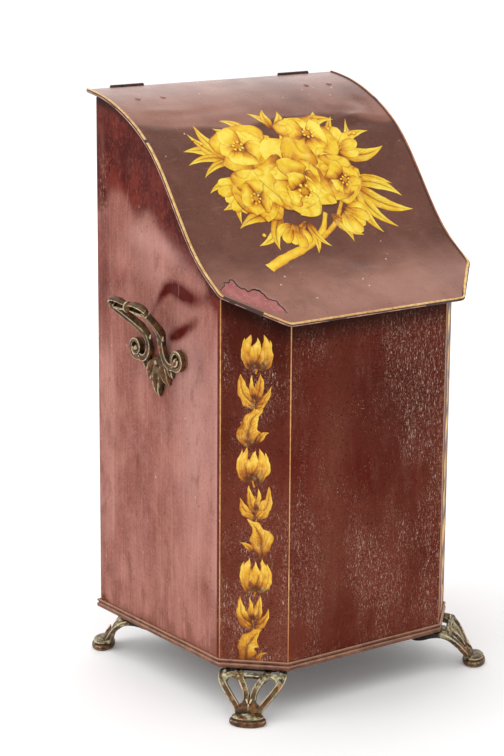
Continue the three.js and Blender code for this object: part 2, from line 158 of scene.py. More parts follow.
def lid_half(y):
    return np.where(y < LID_CUT_Y, LID_FRONT_HALF + (y - LID_FRONT_Y) * (LID_HALF - LID_FRONT_HALF) / (LID_CUT_Y - LID_FRONT_Y), LID_HALF)


def lid_dent(x, s):
    """How far the sheet is bent up from its even curve, square to it."""
    x, s = np.asarray(x, float), np.asarray(s, float)
    d = 0.55 * noise2(x, s, 95, 11) + 0.28 * noise2(x, s, 42, 12) + 0.07 * noise2(x, s, 17, 13)
    # creases along the upper bend
    line = 232 + 3.5 * np.sin(x / 31.0) + 2.0 * np.sin(x / 13.0 + 1.0)
    along = 0.55 + 0.45 * noise2(x, x * 0, 38, 14)
    d += 1.05 * along * np.exp(-((s - line) / 4.2) ** 2) - 0.85 * along * np.exp(-((s - line + 11) / 7.0) ** 2)
    d += 1.8 * bump(x, s, 94, 229, 15, 3.6, 0.12) - 1.5 * bump(x, s, 88, 218, 17, 5, 0.12) + 0.6 * bump(x, s, 112, 236, 9, 4, 0.3)
    d -= 1.0 * bump(x, s, 121, 250, 12, 9)
    # knocks on the lower right and under the spray
    d -= 1.3 * bump(x, s, 26, 70, 14, 8, 0.3) - 0.8 * bump(x, s, 31, 58, 11, 5, 0.2)
    d -= 0.9 * bump(x, s, 90, 92, 13, 6, -0.5) + 0.6 * bump(x, s, 104, 106, 8, 5)
    d += 0.5 * bump(x, s, -95, 262, 30, 5, -0.1) - 0.5 * bump(x, s, -60, 256, 34, 6, 0.05)
    d -= 0.8 * bump(x, s, -112, 66, 20, 7, -0.5) - 0.55 * bump(x, s, -100, 58, 26, 6, -0.55)
    y = np.interp(s, LS, LC[:, 0])
    edge = np.minimum(lid_half(y) - np.abs(x), np.minimum(s, LID_LEN - s))
    return d * smooth(0, 22, edge) + 0.18 * noise2(x, s, 60, 15)


def lid_point(x, s, off=0.0, dent=True):
    """A point on the lid's top face, off millimetres above it."""
    x, s = np.broadcast_arrays(np.asarray(x, float), np.asarray(s, float))
    y, z = np.interp(s, LS, LC[:, 0]), np.interp(s, LS, LC[:, 1])
    ny, nz = np.interp(s, LS, LNY), np.interp(s, LS, LNZ)
    # past either end the sheet goes on straight
    lo, hi = np.minimum(s, 0), np.maximum(s - LID_LEN, 0)
    y = y + lo * LT[0, 0] + hi * LT[-1, 0]
    z = z + lo * LT[0, 1] + hi * LT[-1, 1]
    o = off + (lid_dent(x, s) if dent else 0.0)
    return np.stack([x + 0 * y, y + ny * o, z + nz * o], -1)


def lid_line_z(y, off=0.0):
    """Height of the lid's even curve moved square to itself by off."""
    py, pz = LC[:, 0] + LNY * off, LC[:, 1] + LNZ * off
    return np.interp(y, py, pz)


# ---------------------------------------------------------------- body surface
RIM_TOP = -1.6  # top of the rolled rim under the lid's top line
RIM_R = 1.5
PANEL_TOP = RIM_TOP - 2 * RIM_R - 0.1


def _body_path():
    """Plan line round the outside of the sheet body, from the back's middle, by the left side and front, to the back again."""
    pts = [(0, HD), (-HW, HD), (-HW, -HD + CORNER), (-HW + CORNER, -HD), (HW - CORNER, -HD), (HW, -HD + CORNER), (HW, HD), (0, HD)]
    p = np.array(pts, float)
    out = [p[0]]
    for i in range(1, len(p) - 1):
        a, b, c = p[i - 1], p[i], p[i + 1]
        u, v = (a - b) / np.linalg.norm(a - b), (c - b) / np.linalg.norm(c - b)
        half = math.acos(np.clip(u @ v, -1, 1)) / 2
        r = FOLD_R if 0 < i < len(p) - 1 else 0
        t = r / math.tan(half)
        m = (u + v) / np.linalg.norm(u + v)
        centre = b + m * r / math.sin(half)
        p0, p1 = b + u * t, b + v * t
        a0, a1 = p0 - centre, p1 - centre
        ang0, ang1 = math.atan2(a0[1], a0[0]), math.atan2(a1[1], a1[0])
        d = (ang1 - ang0 + math.pi) % (2 * math.pi) - math.pi
        for k in range(9):
            g = ang0 + d * k / 8
            out.append(centre + r * np.array([math.cos(g), math.sin(g)]))
    out.append(p[-1])
    return np.array(out)


BP = _body_path()
BS = np.r_[0, np.cumsum(np.linalg.norm(np.diff(BP, axis=0), axis=1))]


def body_at(q):
    """Plan point and outward direction at distance q along the body's outline."""
    q = np.asarray(q, float)
    x, y = np.interp(q, BS, BP[:, 0]), np.interp(q, BS, BP[:, 1])
    e = 0.6
    x0, x1 = np.interp(q - e, BS, BP[:, 0]), np.interp(q + e, BS, BP[:, 0])
    y0, y1 = np.interp(q - e, BS, BP[:, 1]), np.interp(q + e, BS, BP[:, 1])
    tx, ty = x1 - x0, y1 - y0
    l = np.hypot(tx, ty)
    # the outline runs left, then to the front, so outwards is to its right
    return x, y, ty / l, -tx / l


def q_of(x, y):
    d = []
    for i in range(len(BP) - 1):
        a, b = BP[i], BP[i + 1]
        t = np.clip(np.dot([x - a[0], y - a[1]], b - a) / max(1e-9, np.dot(b - a, b - a)), 0, 1)
        d.append((np.hypot(*(a + t * (b - a) - [x, y])), BS[i] + t * np.linalg.norm(b - a)))
    return min(d)[1]


Q_BACK_L, Q_SIDE_L, Q_FRONT_L = q_of(-HW, HD), q_of(-HW, -HD + CORNER), q_of(-HW + CORNER, -HD)
Q_FRONT_R, Q_SIDE_R, Q_BACK_R = q_of(HW - CORNER, -HD), q_of(HW, -HD + CORNER), q_of(HW, HD)
print("outline", [round(float(v), 1) for v in (Q_BACK_L, Q_SIDE_L, Q_FRONT_L, Q_FRONT_R, Q_SIDE_R, Q_BACK_R, BS[-1])])


def body_top(q):
    x, y, nx, ny = body_at(q)
    side = lid_line_z(y, PANEL_TOP)
    back = 494.0
    w = smooth(HD - 4.0, HD - 0.6, y)
    return side * (1 - w) + back * w


def body_dent(q, z):
    """How far the panels are bent outwards."""
    q, z = np.asarray(q, float), np.asarray(z, float)
    d = 0.5 * noise2(q, z, 120, 21) + 0.22 * noise2(q, z, 55, 22) + 0.05 * noise2(q, z, 20, 23)
    x, y, nx, ny = body_at(q)
    left = (q > Q_BACK_L) & (q < Q_SIDE_L)
    # kinks round the left handle, and the slack upper corner
    k = 1.3 * bump(y, z, -8, 349, 20, 4.5, -0.35) - 1.2 * bump(y, z, -6, 335, 22, 7, -0.3)
    k += 1.0 * bump(y, z, 16, 322, 4, 22, 0.35) - 0.9 * bump(y, z, 6, 318, 6, 20, 0.35)
    k -= 1.2 * bump(y, z, -40, 303, 18, 6, 0.75) - 1.0 * bump(y, z, -44, 316, 16, 5, 0.75)
    k -= 1.6 * bump(y, z, 62, 430, 42, 30, 0.5) - 0.9 * bump(y, z, 40, 372, 60, 14, 0.6)
    d = d + np.where(left, k, 0)
    right = (q > Q_SIDE_R) & (q < Q_BACK_R)
    kr = 1.0 * bump(y, z, 55, 330, 30, 9, 0.4) - 0.9 * bump(y, z, 40, 200, 40, 30)
    d = d + np.where(right, kr, 0)
    back = (q < Q_BACK_L) | (q > Q_BACK_R)
    kb = 0.9 * bump(x, z, -50, 240, 60, 50) - 1.0 * bump(x, z, 40, 330, 45, 40)
    d = d + np.where(back, kb, 0)
    # stiff at the folds, the moulding and the rim
    e = np.min([np.abs(q - f) for f in (Q_BACK_L, Q_SIDE_L, Q_FRONT_L, Q_FRONT_R, Q_SIDE_R, Q_BACK_R)], axis=0)
    stiff = smooth(2, 26, e) * smooth(0, 20, z) * smooth(0, 14, body_top(q) - z)
    return d * stiff


def body_point(q, z, off=0.0):
    x, y, nx, ny = body_at(q)
    o = off + body_dent(q, z)
    return np.stack([x + nx * o, y + ny * o, np.asarray(z, float) + 0 * x], -1)


# ---------------------------------------------------------------- mesh tools
def mesh_object(name, verts, faces, material, body, replaces=(), slot=None, angle=35.0, attrs=None, recalc=True, to_world=True):
    me = bpy.data.meshes.new(name)
    v = world(verts) if to_world else np.asarray(verts, float)
    me.from_pydata(v.tolist(), [], faces.tolist() if isinstance(faces, np.ndarray) else list(faces))
    for key, val in (attrs or {}).items():
        val = np.asarray(val, np.float32)
        if val.ndim == 1:
            me.attributes.new(key, "FLOAT", "POINT").data.foreach_set("value", val)
        else:
            if val.shape[1] == 3:
                val = np.c_[val, np.ones(len(val), np.float32)]
            me.attributes.new(key, "FLOAT_COLOR", "POINT").data.foreach_set("color", val.ravel())
    if recalc:
        bm = bmesh.new()
        bm.from_mesh(me)
        bmesh.ops.recalc_face_normals(bm, faces=bm.faces)
        bm.to_mesh(me)
        bm.free()
    me.polygons.foreach_set("use_smooth", [True] * len(me.polygons))
    me.set_sharp_from_angle(angle=math.radians(angle))
    me.validate()
    me.update()
    ob = bpy.data.objects.new(name, me)
    bpy.context.scene.collection.objects.link(ob)
    me.materials.append(material)
    if body:
        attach(ob, body)
    if replaces:
        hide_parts(*replaces)
    return ob


def grid_faces(n, m, start=0, wrap=False):
    i = np.arange(n - 1)[:, None]
    j = np.arange(m if wrap else m - 1)[None, :]
    k = (j + 1) % m
    return (np.stack([i * m + j, i * m + k, (i + 1) * m + k, (i + 1) * m + j], -1).reshape(-1, 4) + start)


def slab(top, bottom, start=0):
    """A closed sheet between two grids of points."""
    n, m = top.shape[:2]
    v = np.concatenate([top.reshape(-1, 3), bottom.reshape(-1, 3)])
    f = [grid_faces(n, m), grid_faces(n, m, n * m)[:, ::-1]]
    loop = np.r_[np.arange(m), np.arange(2 * m - 1, n * m, m), np.arange(n * m - 2, (n - 1) * m - 1, -1), np.arange((n - 2) * m, 0, -m)]
    nxt = np.roll(loop, -1)
    f.append(np.stack([nxt, loop, loop + n * m, nxt + n * m], -1))
    return v, np.concatenate(f) + start


def frames_along(path, up=(0, 0, 1)):
    """Tangent and two cross directions along a path, carried along without twist."""
    p = np.asarray(path, float)
    t = np.gradient(p, axis=0)
    t /= np.linalg.norm(t, axis=1)[:, None]
    u = np.asarray(up, float)
    a = u - t[0] * (u @ t[0])
    if np.linalg.norm(a) < 1e-3:
        a = np.array([1.0, 0.3, 0.2]) - t[0] * (np.array([1.0, 0.3, 0.2]) @ t[0])
    a /= np.linalg.norm(a)
    A = []
    for k in range(len(p)):
        a = a - t[k] * (a @ t[k])
        a /= np.linalg.norm(a)
        A.append(a.copy())
    A = np.array(A)
    B = np.cross(t, A)
    return t, A, B


def sweep(path, section, scale=1.0, up=(0, 0, 1), closed=False, start=0, caps=True, twist=0.0):
    """section is a closed list of (across, up) points, swept along the path."""
    p = np.asarray(path, float)
    t, A, B = frames_along(p, up)
    if closed:
        pass
    sec = np.asarray(section, float)
    n, m = len(p), len(sec)
    sc = np.broadcast_to(np.asarray(scale, float), (n,)) if np.ndim(scale) <= 1 else None
    su = sc if sc is not None else np.asarray(scale)[:, 0]
    sv = sc if sc is not None else np.asarray(scale)[:, 1]
    tw = np.broadcast_to(np.asarray(twist, float), (n,))
    c, s = np.cos(tw)[:, None], np.sin(tw)[:, None]
    B2, A2 = c * B + s * A, -s * B + c * A
    v = p[:, None, :] + B2[:, None, :] * (sec[None, :, 0:1] * su[:, None, None]) + A2[:, None, :] * (sec[None, :, 1:2] * sv[:, None, None])
    v = v.reshape(-1, 3)
    f = [tuple(q) for q in grid_faces(n, m, start, wrap=True)]
    if closed:
        f += [((n - 1) * m + j + start, (n - 1) * m + (j + 1) % m + start, (j + 1) % m + start, j + start) for j in range(m)]
    elif caps:
        f.append(tuple(start + j for j in range(m))[::-1])
        f.append(tuple(start + (n - 1) * m + j for j in range(m)))
    return v, f


def circle(r, sides=12, squash=1.0, turn=0.0):
    a = 2 * np.pi * np.arange(sides) / sides + turn
    return np.stack([r * np.cos(a), r * squash * np.sin(a)], 1)


def rounded_ends(path, r, n=4):
    """Scale for a tube of radius r so that its ends round off, with the path made denser there."""
    p = np.asarray(path, float)
    s = np.r_[0, np.cumsum(np.linalg.norm(np.diff(p, axis=0), axis=1))]
    L = s[-1]
    r = min(r, L * 0.45)
    a = r * (1 - np.cos(np.linspace(0, np.pi / 2, n + 1)))
    mid = s[(s > r) & (s < L - r)]
    q = np.unique(np.r_[a, mid, L - a[::-1]])
    out = np.stack([np.interp(q, s, p[:, k]) for k in range(3)], 1)
    d = np.minimum(q, L - q)
    sc = np.where(d < r, np.sqrt(np.clip(1 - (1 - d / r) ** 2, 0.02, 1)), 1.0)
    return out, sc


def tube(path, r, sides=12, ends=True, up=(0, 0, 1), start=0, squash=1.0, radius=None):
    if ends:
        p, sc = rounded_ends(path, r)
    else:
        p, sc = np.asarray(path, float), np.ones(len(path))
    if radius is not None:
        s0 = np.linspace(0, 1, len(radius))
        s = np.r_[0, np.cumsum(np.linalg.norm(np.diff(p, axis=0), axis=1))]
        sc = sc * np.interp(s / s[-1], s0, radius) / r
    return sweep(p, circle(r, sides, squash), sc, up, start=start)


def lathe(profile, axis_point, axis, sides=32, start=0, squash=1.0, ref=(1, 0, 0)):
    """profile is (radius, height) points from the bottom to the top, closed at both ends."""
    ax = np.asarray(axis, float)
    ax /= np.linalg.norm(ax)
    r = np.asarray(ref, float)
    r = r - ax * (r @ ax)
    r /= np.linalg.norm(r)
    w = np.cross(ax, r)
    a = 2 * np.pi * np.arange(sides) / sides
    ring = np.cos(a)[:, None] * r + squash * np.sin(a)[:, None] * w
    pr = np.asarray(profile, float)
    v = (np.asarray(axis_point, float) + pr[:, None, 1:2] * ax + np.maximum(pr[:, None, 0:1], 1e-3) * ring[None]).reshape(-1, 3)
    n, m = len(pr), sides
    f = [tuple(q) for q in grid_faces(n, m, start, wrap=True)]
    f.append(tuple(start + j for j in range(m))[::-1])
    f.append(tuple(start + (n - 1) * m + j for j in range(m)))
    return v, f


def blob(centre, radii, turn=None, n=16, m=24, start=0):
    a = np.linspace(0.04, np.pi - 0.04, n)
    b = 2 * np.pi * np.arange(m) / m
    v = np.stack([np.sin(a)[:, None] * np.cos(b), np.sin(a)[:, None] * np.sin(b), np.cos(a)[:, None] + 0 * b], -1).reshape(-1, 3)
    v = v * np.asarray(radii, float)
    if turn is not None:
        v = v @ np.asarray(turn, float).T
    v = v + np.asarray(centre, float)
    f = [tuple(q) for q in grid_faces(n, m, start, wrap=True)]
    f.append(tuple(start + j for j in range(m))[::-1])
    f.append(tuple(start + (n - 1) * m + j for j in range(m)))
    return v, f


class Pile:
    """Collects shells into one mesh."""

    def __init__(self):
        self.v, self.f, self.a, self.n = [], [], {}, 0

    def add(self, vf, **attrs):
        v, f = vf
        v = np.asarray(v, float)
        f = f.tolist() if isinstance(f, np.ndarray) else f
        self.f += [tuple(int(i) + self.n for i in q) for q in f]
        self.v.append(v)
        for k, val in attrs.items():
            self.a.setdefault(k, []).append(np.broadcast_to(np.asarray(val, float), (len(v),) + np.shape(val)[1:] if np.ndim(val) > 1 else (len(v),)))
        self.n += len(v)
        return self

    def verts(self):
        return np.concatenate(self.v)

    def attrs(self):
        return {k: np.concatenate(v) for k, v in self.a.items()}

    def object(self, name, material, body, **kw):
        return mesh_object(name, self.verts(), self.f, material, body, attrs=self.attrs(), **kw)


def fused(pile, voxel, passes=3, factor=0.5):
    """One closed skin over the pile's shells, as a casting has. Millimetres in and out."""
    me = bpy.data.meshes.new("raw")
    me.from_pydata(pile.verts().tolist(), [], pile.f)
    bm = bmesh.new()
    bm.from_mesh(me)
    bmesh.ops.recalc_face_normals(bm, faces=bm.faces)
    bm.to_mesh(me)
    bm.free()
    ob = bpy.data.objects.new("raw", me)
    bpy.context.scene.collection.objects.link(ob)
    mod = ob.modifiers.new("skin", "REMESH")
    mod.mode, mod.voxel_size = "VOXEL", voxel
    if passes:
        sm = ob.modifiers.new("soft", "SMOOTH")
        sm.factor, sm.iterations = factor, passes
    bpy.context.view_layer.update()
    ev = ob.evaluated_get(bpy.context.evaluated_depsgraph_get())
    out = ev.to_mesh()
    v = np.zeros(len(out.vertices) * 3, np.float32)
    out.vertices.foreach_get("co", v)
    f = [tuple(p.vertices) for p in out.polygons]
    ev.to_mesh_clear()
    bpy.data.objects.remove(ob)
    bpy.data.meshes.remove(me)
    return v.reshape(-1, 3).astype(float), f


# ---------------------------------------------------------------- material tools
class Look:
    """Builds a procedural material. Numbers or sockets go in, sockets come out."""

    def __init__(self, name):
        self.m = bpy.data.materials.new(name)
        self.m.use_nodes = True
        self.t = self.m.node_tree
        self.t.nodes.clear()
        self.out = self.t.nodes.new("ShaderNodeOutputMaterial")
        self.co = self.t.nodes.new("ShaderNodeTexCoord").outputs["Object"]

    def put(self, socket, value):
        if isinstance(value, bpy.types.NodeSocket):
            self.t.links.new(value, socket)
        elif value is not None:
            if hasattr(socket.default_value, "__len__") and not isinstance(value, (tuple, list)):
                value = (value,) * len(socket.default_value)
            if hasattr(socket.default_value, "__len__") and len(value) == 3 and len(socket.default_value) == 4:
                value = (*value, 1.0)
            socket.default_value = value

    def node(self, kind, inputs=(), **props):
        n = self.t.nodes.new(kind)
        for k, v in props.items():
            setattr(n, k, v)
        for k, v in dict(inputs).items():
            self.put(n.inputs[k], v)
        return n

    def math(self, op, a, b=None, c=None, clamp=False):
        n = self.node("ShaderNodeMath", {0: a}, operation=op, use_clamp=clamp)
        if b is not None:
            self.put(n.inputs[1], b)
        if c is not None:
            self.put(n.inputs[2], c)
        return n.outputs[0]

    def mul(self, a, b):
        return self.math("MULTIPLY", a, b)

    def add(self, a, b):
        return self.math("ADD", a, b)

    def most(self, a, b):
        return self.math("MAXIMUM", a, b)

    def scaled(self, sx, sy, sz, shift=(0, 0, 0), vec=None):
        return self.node("ShaderNodeMapping", {"Vector": vec or self.co, "Scale": (sx, sy, sz), "Location": shift}).outputs[0]

    def noise(self, scale, detail=4.0, rough=0.55, vec=None, distort=0.0):
        return self.node("ShaderNodeTexNoise", {"Vector": vec or self.co, "Scale": scale, "Detail": detail, "Roughness": rough, "Distortion": distort}).outputs["Fac"]

    def cells(self, scale, vec=None, feature="F1", out="Distance", rand=1.0):
        return self.node("ShaderNodeTexVoronoi", {"Vector": vec or self.co, "Scale": scale, "Randomness": rand}, feature=feature).outputs[out]

    def step(self, x, lo, hi, a=0.0, b=1.0):
        n = self.node("ShaderNodeMapRange", {"Value": x, "From Min": lo, "From Max": hi, "To Min": a, "To Max": b}, interpolation_type="SMOOTHSTEP")
        return n.outputs[0]

    def lin(self, x, lo, hi, a=0.0, b=1.0):
        n = self.node("ShaderNodeMapRange", {"Value": x, "From Min": lo, "From Max": hi, "To Min": a, "To Max": b})
        return n.outputs[0]

    def mix(self, f, a, b, mode="MIX"):
        n = self.node("ShaderNodeMix", data_type="RGBA", blend_type=mode)
        self.put(n.inputs[0], f)
        self.put(n.inputs[6], a)
        self.put(n.inputs[7], b)
        return n.outputs[2]

    def mixf(self, f, a, b):
        n = self.node("ShaderNodeMix", data_type="FLOAT")
        self.put(n.inputs[0], f)
        self.put(n.inputs[2], a)
        self.put(n.inputs[3], b)
        return n.outputs[0]

    def attr(self, name, out="Fac"):
        return self.node("ShaderNodeAttribute", attribute_name=name).outputs[out]

    def xyz(self, vec=None):
        n = self.node("ShaderNodeSeparateXYZ", {0: vec or self.co})
        return n.outputs[0], n.outputs[1], n.outputs[2]

    def bump(self, height, distance, strength=1.0, normal=None):
        n = self.node("ShaderNodeBump", {"Height": height, "Distance": distance, "Strength": strength})
        if normal is not None:
            self.put(n.inputs["Normal"], normal)
        return n.outputs[0]

    def surface(self, **inputs):
        b = self.node("ShaderNodeBsdfPrincipled")
        for k, v in inputs.items():
            self.put(b.inputs[k.replace("_", " ")], v)
        self.t.links.new(b.outputs[0], self.out.inputs[0])
        return self.m


def srgb(r, g, b):
    return tuple((v / 255 / 12.92) if v <= 10 else (((v / 255) + 0.055) / 1.055) ** 2.4 for v in (r, g, b))


# ---------------------------------------------------------------- materials
def paint_side():
    """Glossy dark red japanning with a pale tone over much of it: on the left side a painted sheen, reflected light
    painted into the colour; elsewhere paler paint that varies at random.
    """
    k = Look("painted_side")
    bloom, rust, edge = k.attr("bloom"), k.attr("rust"), k.attr("edge")
    streak = k.noise(1.0, 4, 0.55, k.scaled(230, 230, 9))
    streak2 = k.noise(1.0, 3, 0.5, k.scaled(80, 80, 5, (0.3, 0.1, 0)))
    cloud = k.noise(22, 4, 0.6)
    # painted sheen: where it is high the colour goes pale, standing in for reflected light
    f = k.math("ADD", bloom, k.mul(k.add(streak, -0.5), 0.05))
    f = k.add(f, k.mul(k.add(streak2, -0.5), 0.06))
    f = k.add(f, k.mul(k.add(k.noise(75, 5, 0.65, k.scaled(1, 1, 0.8, (0.5, 0.1, 0.9))), -0.5), 0.34))
    f = k.add(f, k.mul(k.add(cloud, -0.5), 0.30))
    f = k.step(f, 0.08, 1.0)
    deep = k.mix(k.step(k.noise(30, 5, 0.65, k.scaled(1, 1, 0.7, (0.6, 0.2, 0.1))), 0.36, 0.66), srgb(72, 12, 7), srgb(112, 40, 30))
    deep = k.mix(k.mul(k.step(k.noise(300, 4, 0.68, k.scaled(1, 1, 0.8, (0.1, 0.6, 0.5))), 0.50, 0.68), 0.55), deep, srgb(134, 66, 54))
    deep = k.mix(k.mul(k.step(k.noise(210, 4, 0.68, k.scaled(1, 1, 0.8, (0.8, 0.6, 0.2))), 0.50, 0.34), 0.60), deep, srgb(48, 8, 5))
    pale = k.mix(k.step(k.noise(34, 4, 0.6, k.scaled(1, 1, 0.6, (0.1, 0.8, 0.4))), 0.3, 0.7), srgb(152, 94, 82), srgb(176, 118, 106))
    base = k.mix(f, deep, pale)
    # brush marks and a fine grain
    brush = k.noise(1.0, 4, 0.6, k.scaled(340, 340, 16, (0.5, 0.5, 0.2)))
    fade = k.lin(f, 0.05, 0.6, 0.05, 1.0)
    base = k.mix(k.mul(k.mul(k.step(brush, 0.52, 0.74), 0.30), fade), base, srgb(190, 138, 124))
    base = k.mix(k.mul(k.mul(k.step(brush, 0.46, 0.26), 0.22), fade), base, srgb(92, 36, 29))
    hair = k.noise(1.0, 3, 0.5, k.scaled(880, 880, 6, (0.3, 0.3, 0.6)))
    base = k.mix(k.mul(k.mul(k.step(hair, 0.55, 0.72), 0.20), fade), base, srgb(206, 160, 148))
    base = k.mix(k.mul(k.mul(k.step(hair, 0.45, 0.30), 0.20), fade), base, srgb(104, 44, 36))
    chip = k.mul(k.step(k.noise(1.0, 5, 0.7, k.scaled(620, 620, 210, (0.7, 0.2, 0.2))), 0.54, 0.64), k.step(k.add(k.attr("chipped"), k.mul(k.add(k.noise(110, 4, 0.65), -0.5), 1.3)), 0.40, 0.80))
    base = k.mix(k.mul(chip, 0.6), base, srgb(214, 168, 140))
    # painted highlight: pale bands of reflected light
    base = k.mix(k.mul(k.attr("glow"), 0.50), base, srgb(200, 152, 143))
    fine = k.noise(480, 4, 0.7)
    base = k.mix(k.mul(k.mul(k.step(fine, 0.52, 0.72), 0.36), fade), base, srgb(200, 150, 134))
    base = k.mix(k.mul(k.step(fine, 0.47, 0.30), 0.34), base, srgb(104, 46, 37))
    # dark marks where something dripped
    sn = k.add(k.attr("stain"), k.mul(k.add(k.noise(170, 5, 0.65), -0.5), 0.36))
    base = k.mix(k.lin(sn, 0.07, 0.72, 0.0, 0.96), base, srgb(80, 6, 2))
    # grime gathers low down and at the back
    dirt = k.mul(k.step(k.add(k.noise(60, 5, 0.65, k.scaled(1, 1, 0.5, (0.6, 0.6, 0.1))), k.mul(k.attr("rust"), 0.35)), 0.54, 0.72), 0.5)
    base = k.mix(dirt, base, srgb(112, 62, 48))
    # dark pinholes and small pale chips
    pits = k.math("LESS_THAN", k.cells(150, k.scaled(1, 1, 0.75)), 0.10)
    pits = k.mul(pits, k.step(k.noise(38, 2, 0.5), 0.48, 0.60))
    base = k.mix(k.mul(pits, 0.75), base, srgb(58, 20, 15))
    chips = k.mul(k.math("LESS_THAN", k.cells(105, k.scaled(1, 1, 0.45, (0.2, 0.3, 0.1))), 0.08), k.step(k.noise(23, 2, 0.5), 0.50, 0.6))
    base = k.mix(k.mul(chips, 0.7), base, srgb(214, 172, 150))
    # upright scratches where the deep colour shows
    sc = k.mul(k.step(k.noise(1.0, 5, 0.7, k.scaled(420, 420, 42, (0.9, 0.4, 0.6))), 0.60, 0.70), k.step(k.noise(1.0, 2, 0.5, k.scaled(40, 40, 14, (0.2, 0.7, 0.5))), 0.48, 0.66))
    base = k.mix(k.mul(sc, 0.55), base, srgb(206, 158, 138))
    # rust creeping from the bottom and the worn edges
    rn = k.noise(120, 6, 0.7)
    r = k.step(k.add(rust, k.mul(k.add(rn, -0.5), 1.3)), 0.52, 0.84)
    rcol = k.mix(k.step(k.noise(330, 5, 0.65), 0.35, 0.65), srgb(62, 26, 17), srgb(172, 112, 80))
    base = k.mix(k.mul(r, 0.85), base, rcol)
    e = k.step(k.add(edge, k.mul(k.add(k.noise(240, 4, 0.6), -0.5), 0.9)), 0.62, 0.8)
    base = k.mix(k.mul(e, 0.75), base, srgb(160, 112, 86))
    # painted shadow of the lid's overhang close under the lid; the inner faces take the same dark colour as darker
    # inside paint
    base = k.mix(k.mul(k.attr("soot"), 0.9), base, srgb(34, 12, 10))
    rough = k.mixf(f, 0.20, 0.38)
    rough = k.mixf(r, rough, 0.7)
    h = k.add(k.mul(k.noise(900, 3, 0.5), 0.35), k.mul(k.noise(90, 4, 0.6), 1.0))
    h = k.add(h, k.mul(r, 0.5))
    return k.surface(Base_Color=base, Roughness=rough, Normal=k.bump(h, 0.00012, 0.55), Specular_IOR_Level=0.05, Coat_Weight=0.0)


def paint_front():
    """The same paint on the front, dry and rubbed, with many small scratches."""
    k = Look("painted_front")
    rust, edge, rub = k.attr("rust"), k.attr("edge"), k.attr("rub")
    cloud = k.noise(13, 5, 0.6)
    base = k.mix(k.step(cloud, 0.3, 0.7), srgb(90, 34, 22), srgb(112, 52, 39))
    base = k.mix(k.mul(k.step(k.noise(8, 3, 0.5, k.scaled(1, 1, 0.6, (0.4, 0.2, 0.7))), 0.46, 0.66), 0.75), base, srgb(96, 20, 9))
    grey = k.noise(1.0, 5, 0.65, k.scaled(60, 60, 14, (0.1, 0.5, 0.2)))
    base = k.mix(k.mul(k.step(grey, 0.50, 0.74), 0.40), base, srgb(122, 74, 62))
    # paler paint, low on the corners and in a patch left of the front's middle
    base = k.mix(k.mul(k.attr("faded"), k.lin(k.noise(36, 5, 0.65), 0.3, 0.7, 0.5, 1.0)), base, srgb(128, 72, 56))
    base = k.mix(k.mul(k.attr("dim"), 0.62), base, srgb(58, 18, 11))
    # rubbed streaks running down the sheet
    s1 = k.noise(1.0, 6, 0.72, k.scaled(620, 620, 150))
    s2 = k.noise(1.0, 4, 0.6, k.scaled(48, 48, 13, (0.7, 0.1, 0.4)))
    where = k.add(s2, k.mul(rub, 0.50))
    m = k.mul(k.step(s1, 0.54, 0.66), k.step(where, 0.50, 0.86))
    base = k.mix(k.mul(m, 0.66), base, srgb(176, 134, 114))
    s3 = k.noise(1.0, 3, 0.6, k.scaled(1050, 1050, 230, (0.2, 0.9, 0.3)))
    m3 = k.mul(k.step(s3, 0.59, 0.69), k.step(where, 0.46, 0.78))
    base = k.mix(k.mul(m3, 0.85), base, srgb(222, 194, 176))
    # grains: pale where rubbed, dark pits everywhere
    g1 = k.noise(640, 4, 0.65)
    base = k.mix(k.mul(k.mul(k.step(g1, 0.54, 0.68), k.step(where, 0.40, 0.76)), 0.45), base, srgb(188, 150, 130))
    base = k.mix(k.mul(k.step(g1, 0.46, 0.32), 0.5), base, srgb(48, 14, 9))
    g2 = k.noise(330, 4, 0.68, k.scaled(1, 1, 0.6, (0.3, 0.3, 0.6)))
    base = k.mix(k.mul(k.step(g2, 0.57, 0.72), 0.16), base, srgb(160, 108, 88))
    base = k.mix(k.mul(k.step(g2, 0.46, 0.34), 0.30), base, srgb(60, 20, 13))
    dots = k.mul(k.step(k.noise(820, 2, 0.5), 0.68, 0.74), k.step(k.noise(31, 3, 0.6), 0.44, 0.62))
    base = k.mix(k.mul(dots, 0.6), base, srgb(210, 178, 156))
    pits = k.mul(k.math("LESS_THAN", k.cells(260, k.scaled(1, 1, 0.8, (0.5, 0.2, 0.6))), 0.15), k.step(k.noise(44, 2, 0.5), 0.46, 0.58))
    base = k.mix(k.mul(pits, 0.8), base, srgb(34, 11, 8))
    r = k.step(k.add(rust, k.mul(k.add(k.noise(120, 6, 0.7), -0.5), 1.4)), 0.52, 0.88)
    base = k.mix(k.mul(r, 0.75), base, k.mix(k.step(k.noise(330, 5, 0.65), 0.36, 0.64), srgb(58, 26, 16), srgb(158, 98, 64)))
    e = k.step(k.add(edge, k.mul(k.add(k.noise(220, 4, 0.6), -0.5), 0.9)), 0.64, 0.82)
    base = k.mix(k.mul(e, 0.7), base, srgb(150, 98, 70))
    # painted shadow of the lid's overhang along the top; the inner faces take the same dark colour as darker inside
    # paint
    base = k.mix(k.mul(k.attr("soot"), 0.9), base, srgb(26, 10, 8))
    h = k.add(k.mul(k.noise(700, 4, 0.6), 0.5), k.add(k.mul(m, 0.9), k.mul(k.noise(80, 4, 0.6), 1.0)))
    rough = k.mixf(m, k.lin(cloud, 0.3, 0.7, 0.36, 0.5), 0.75)
    return k.surface(Base_Color=base, Roughness=rough, Normal=k.bump(h, 0.00012, 0.6), Specular_IOR_Level=0.03)


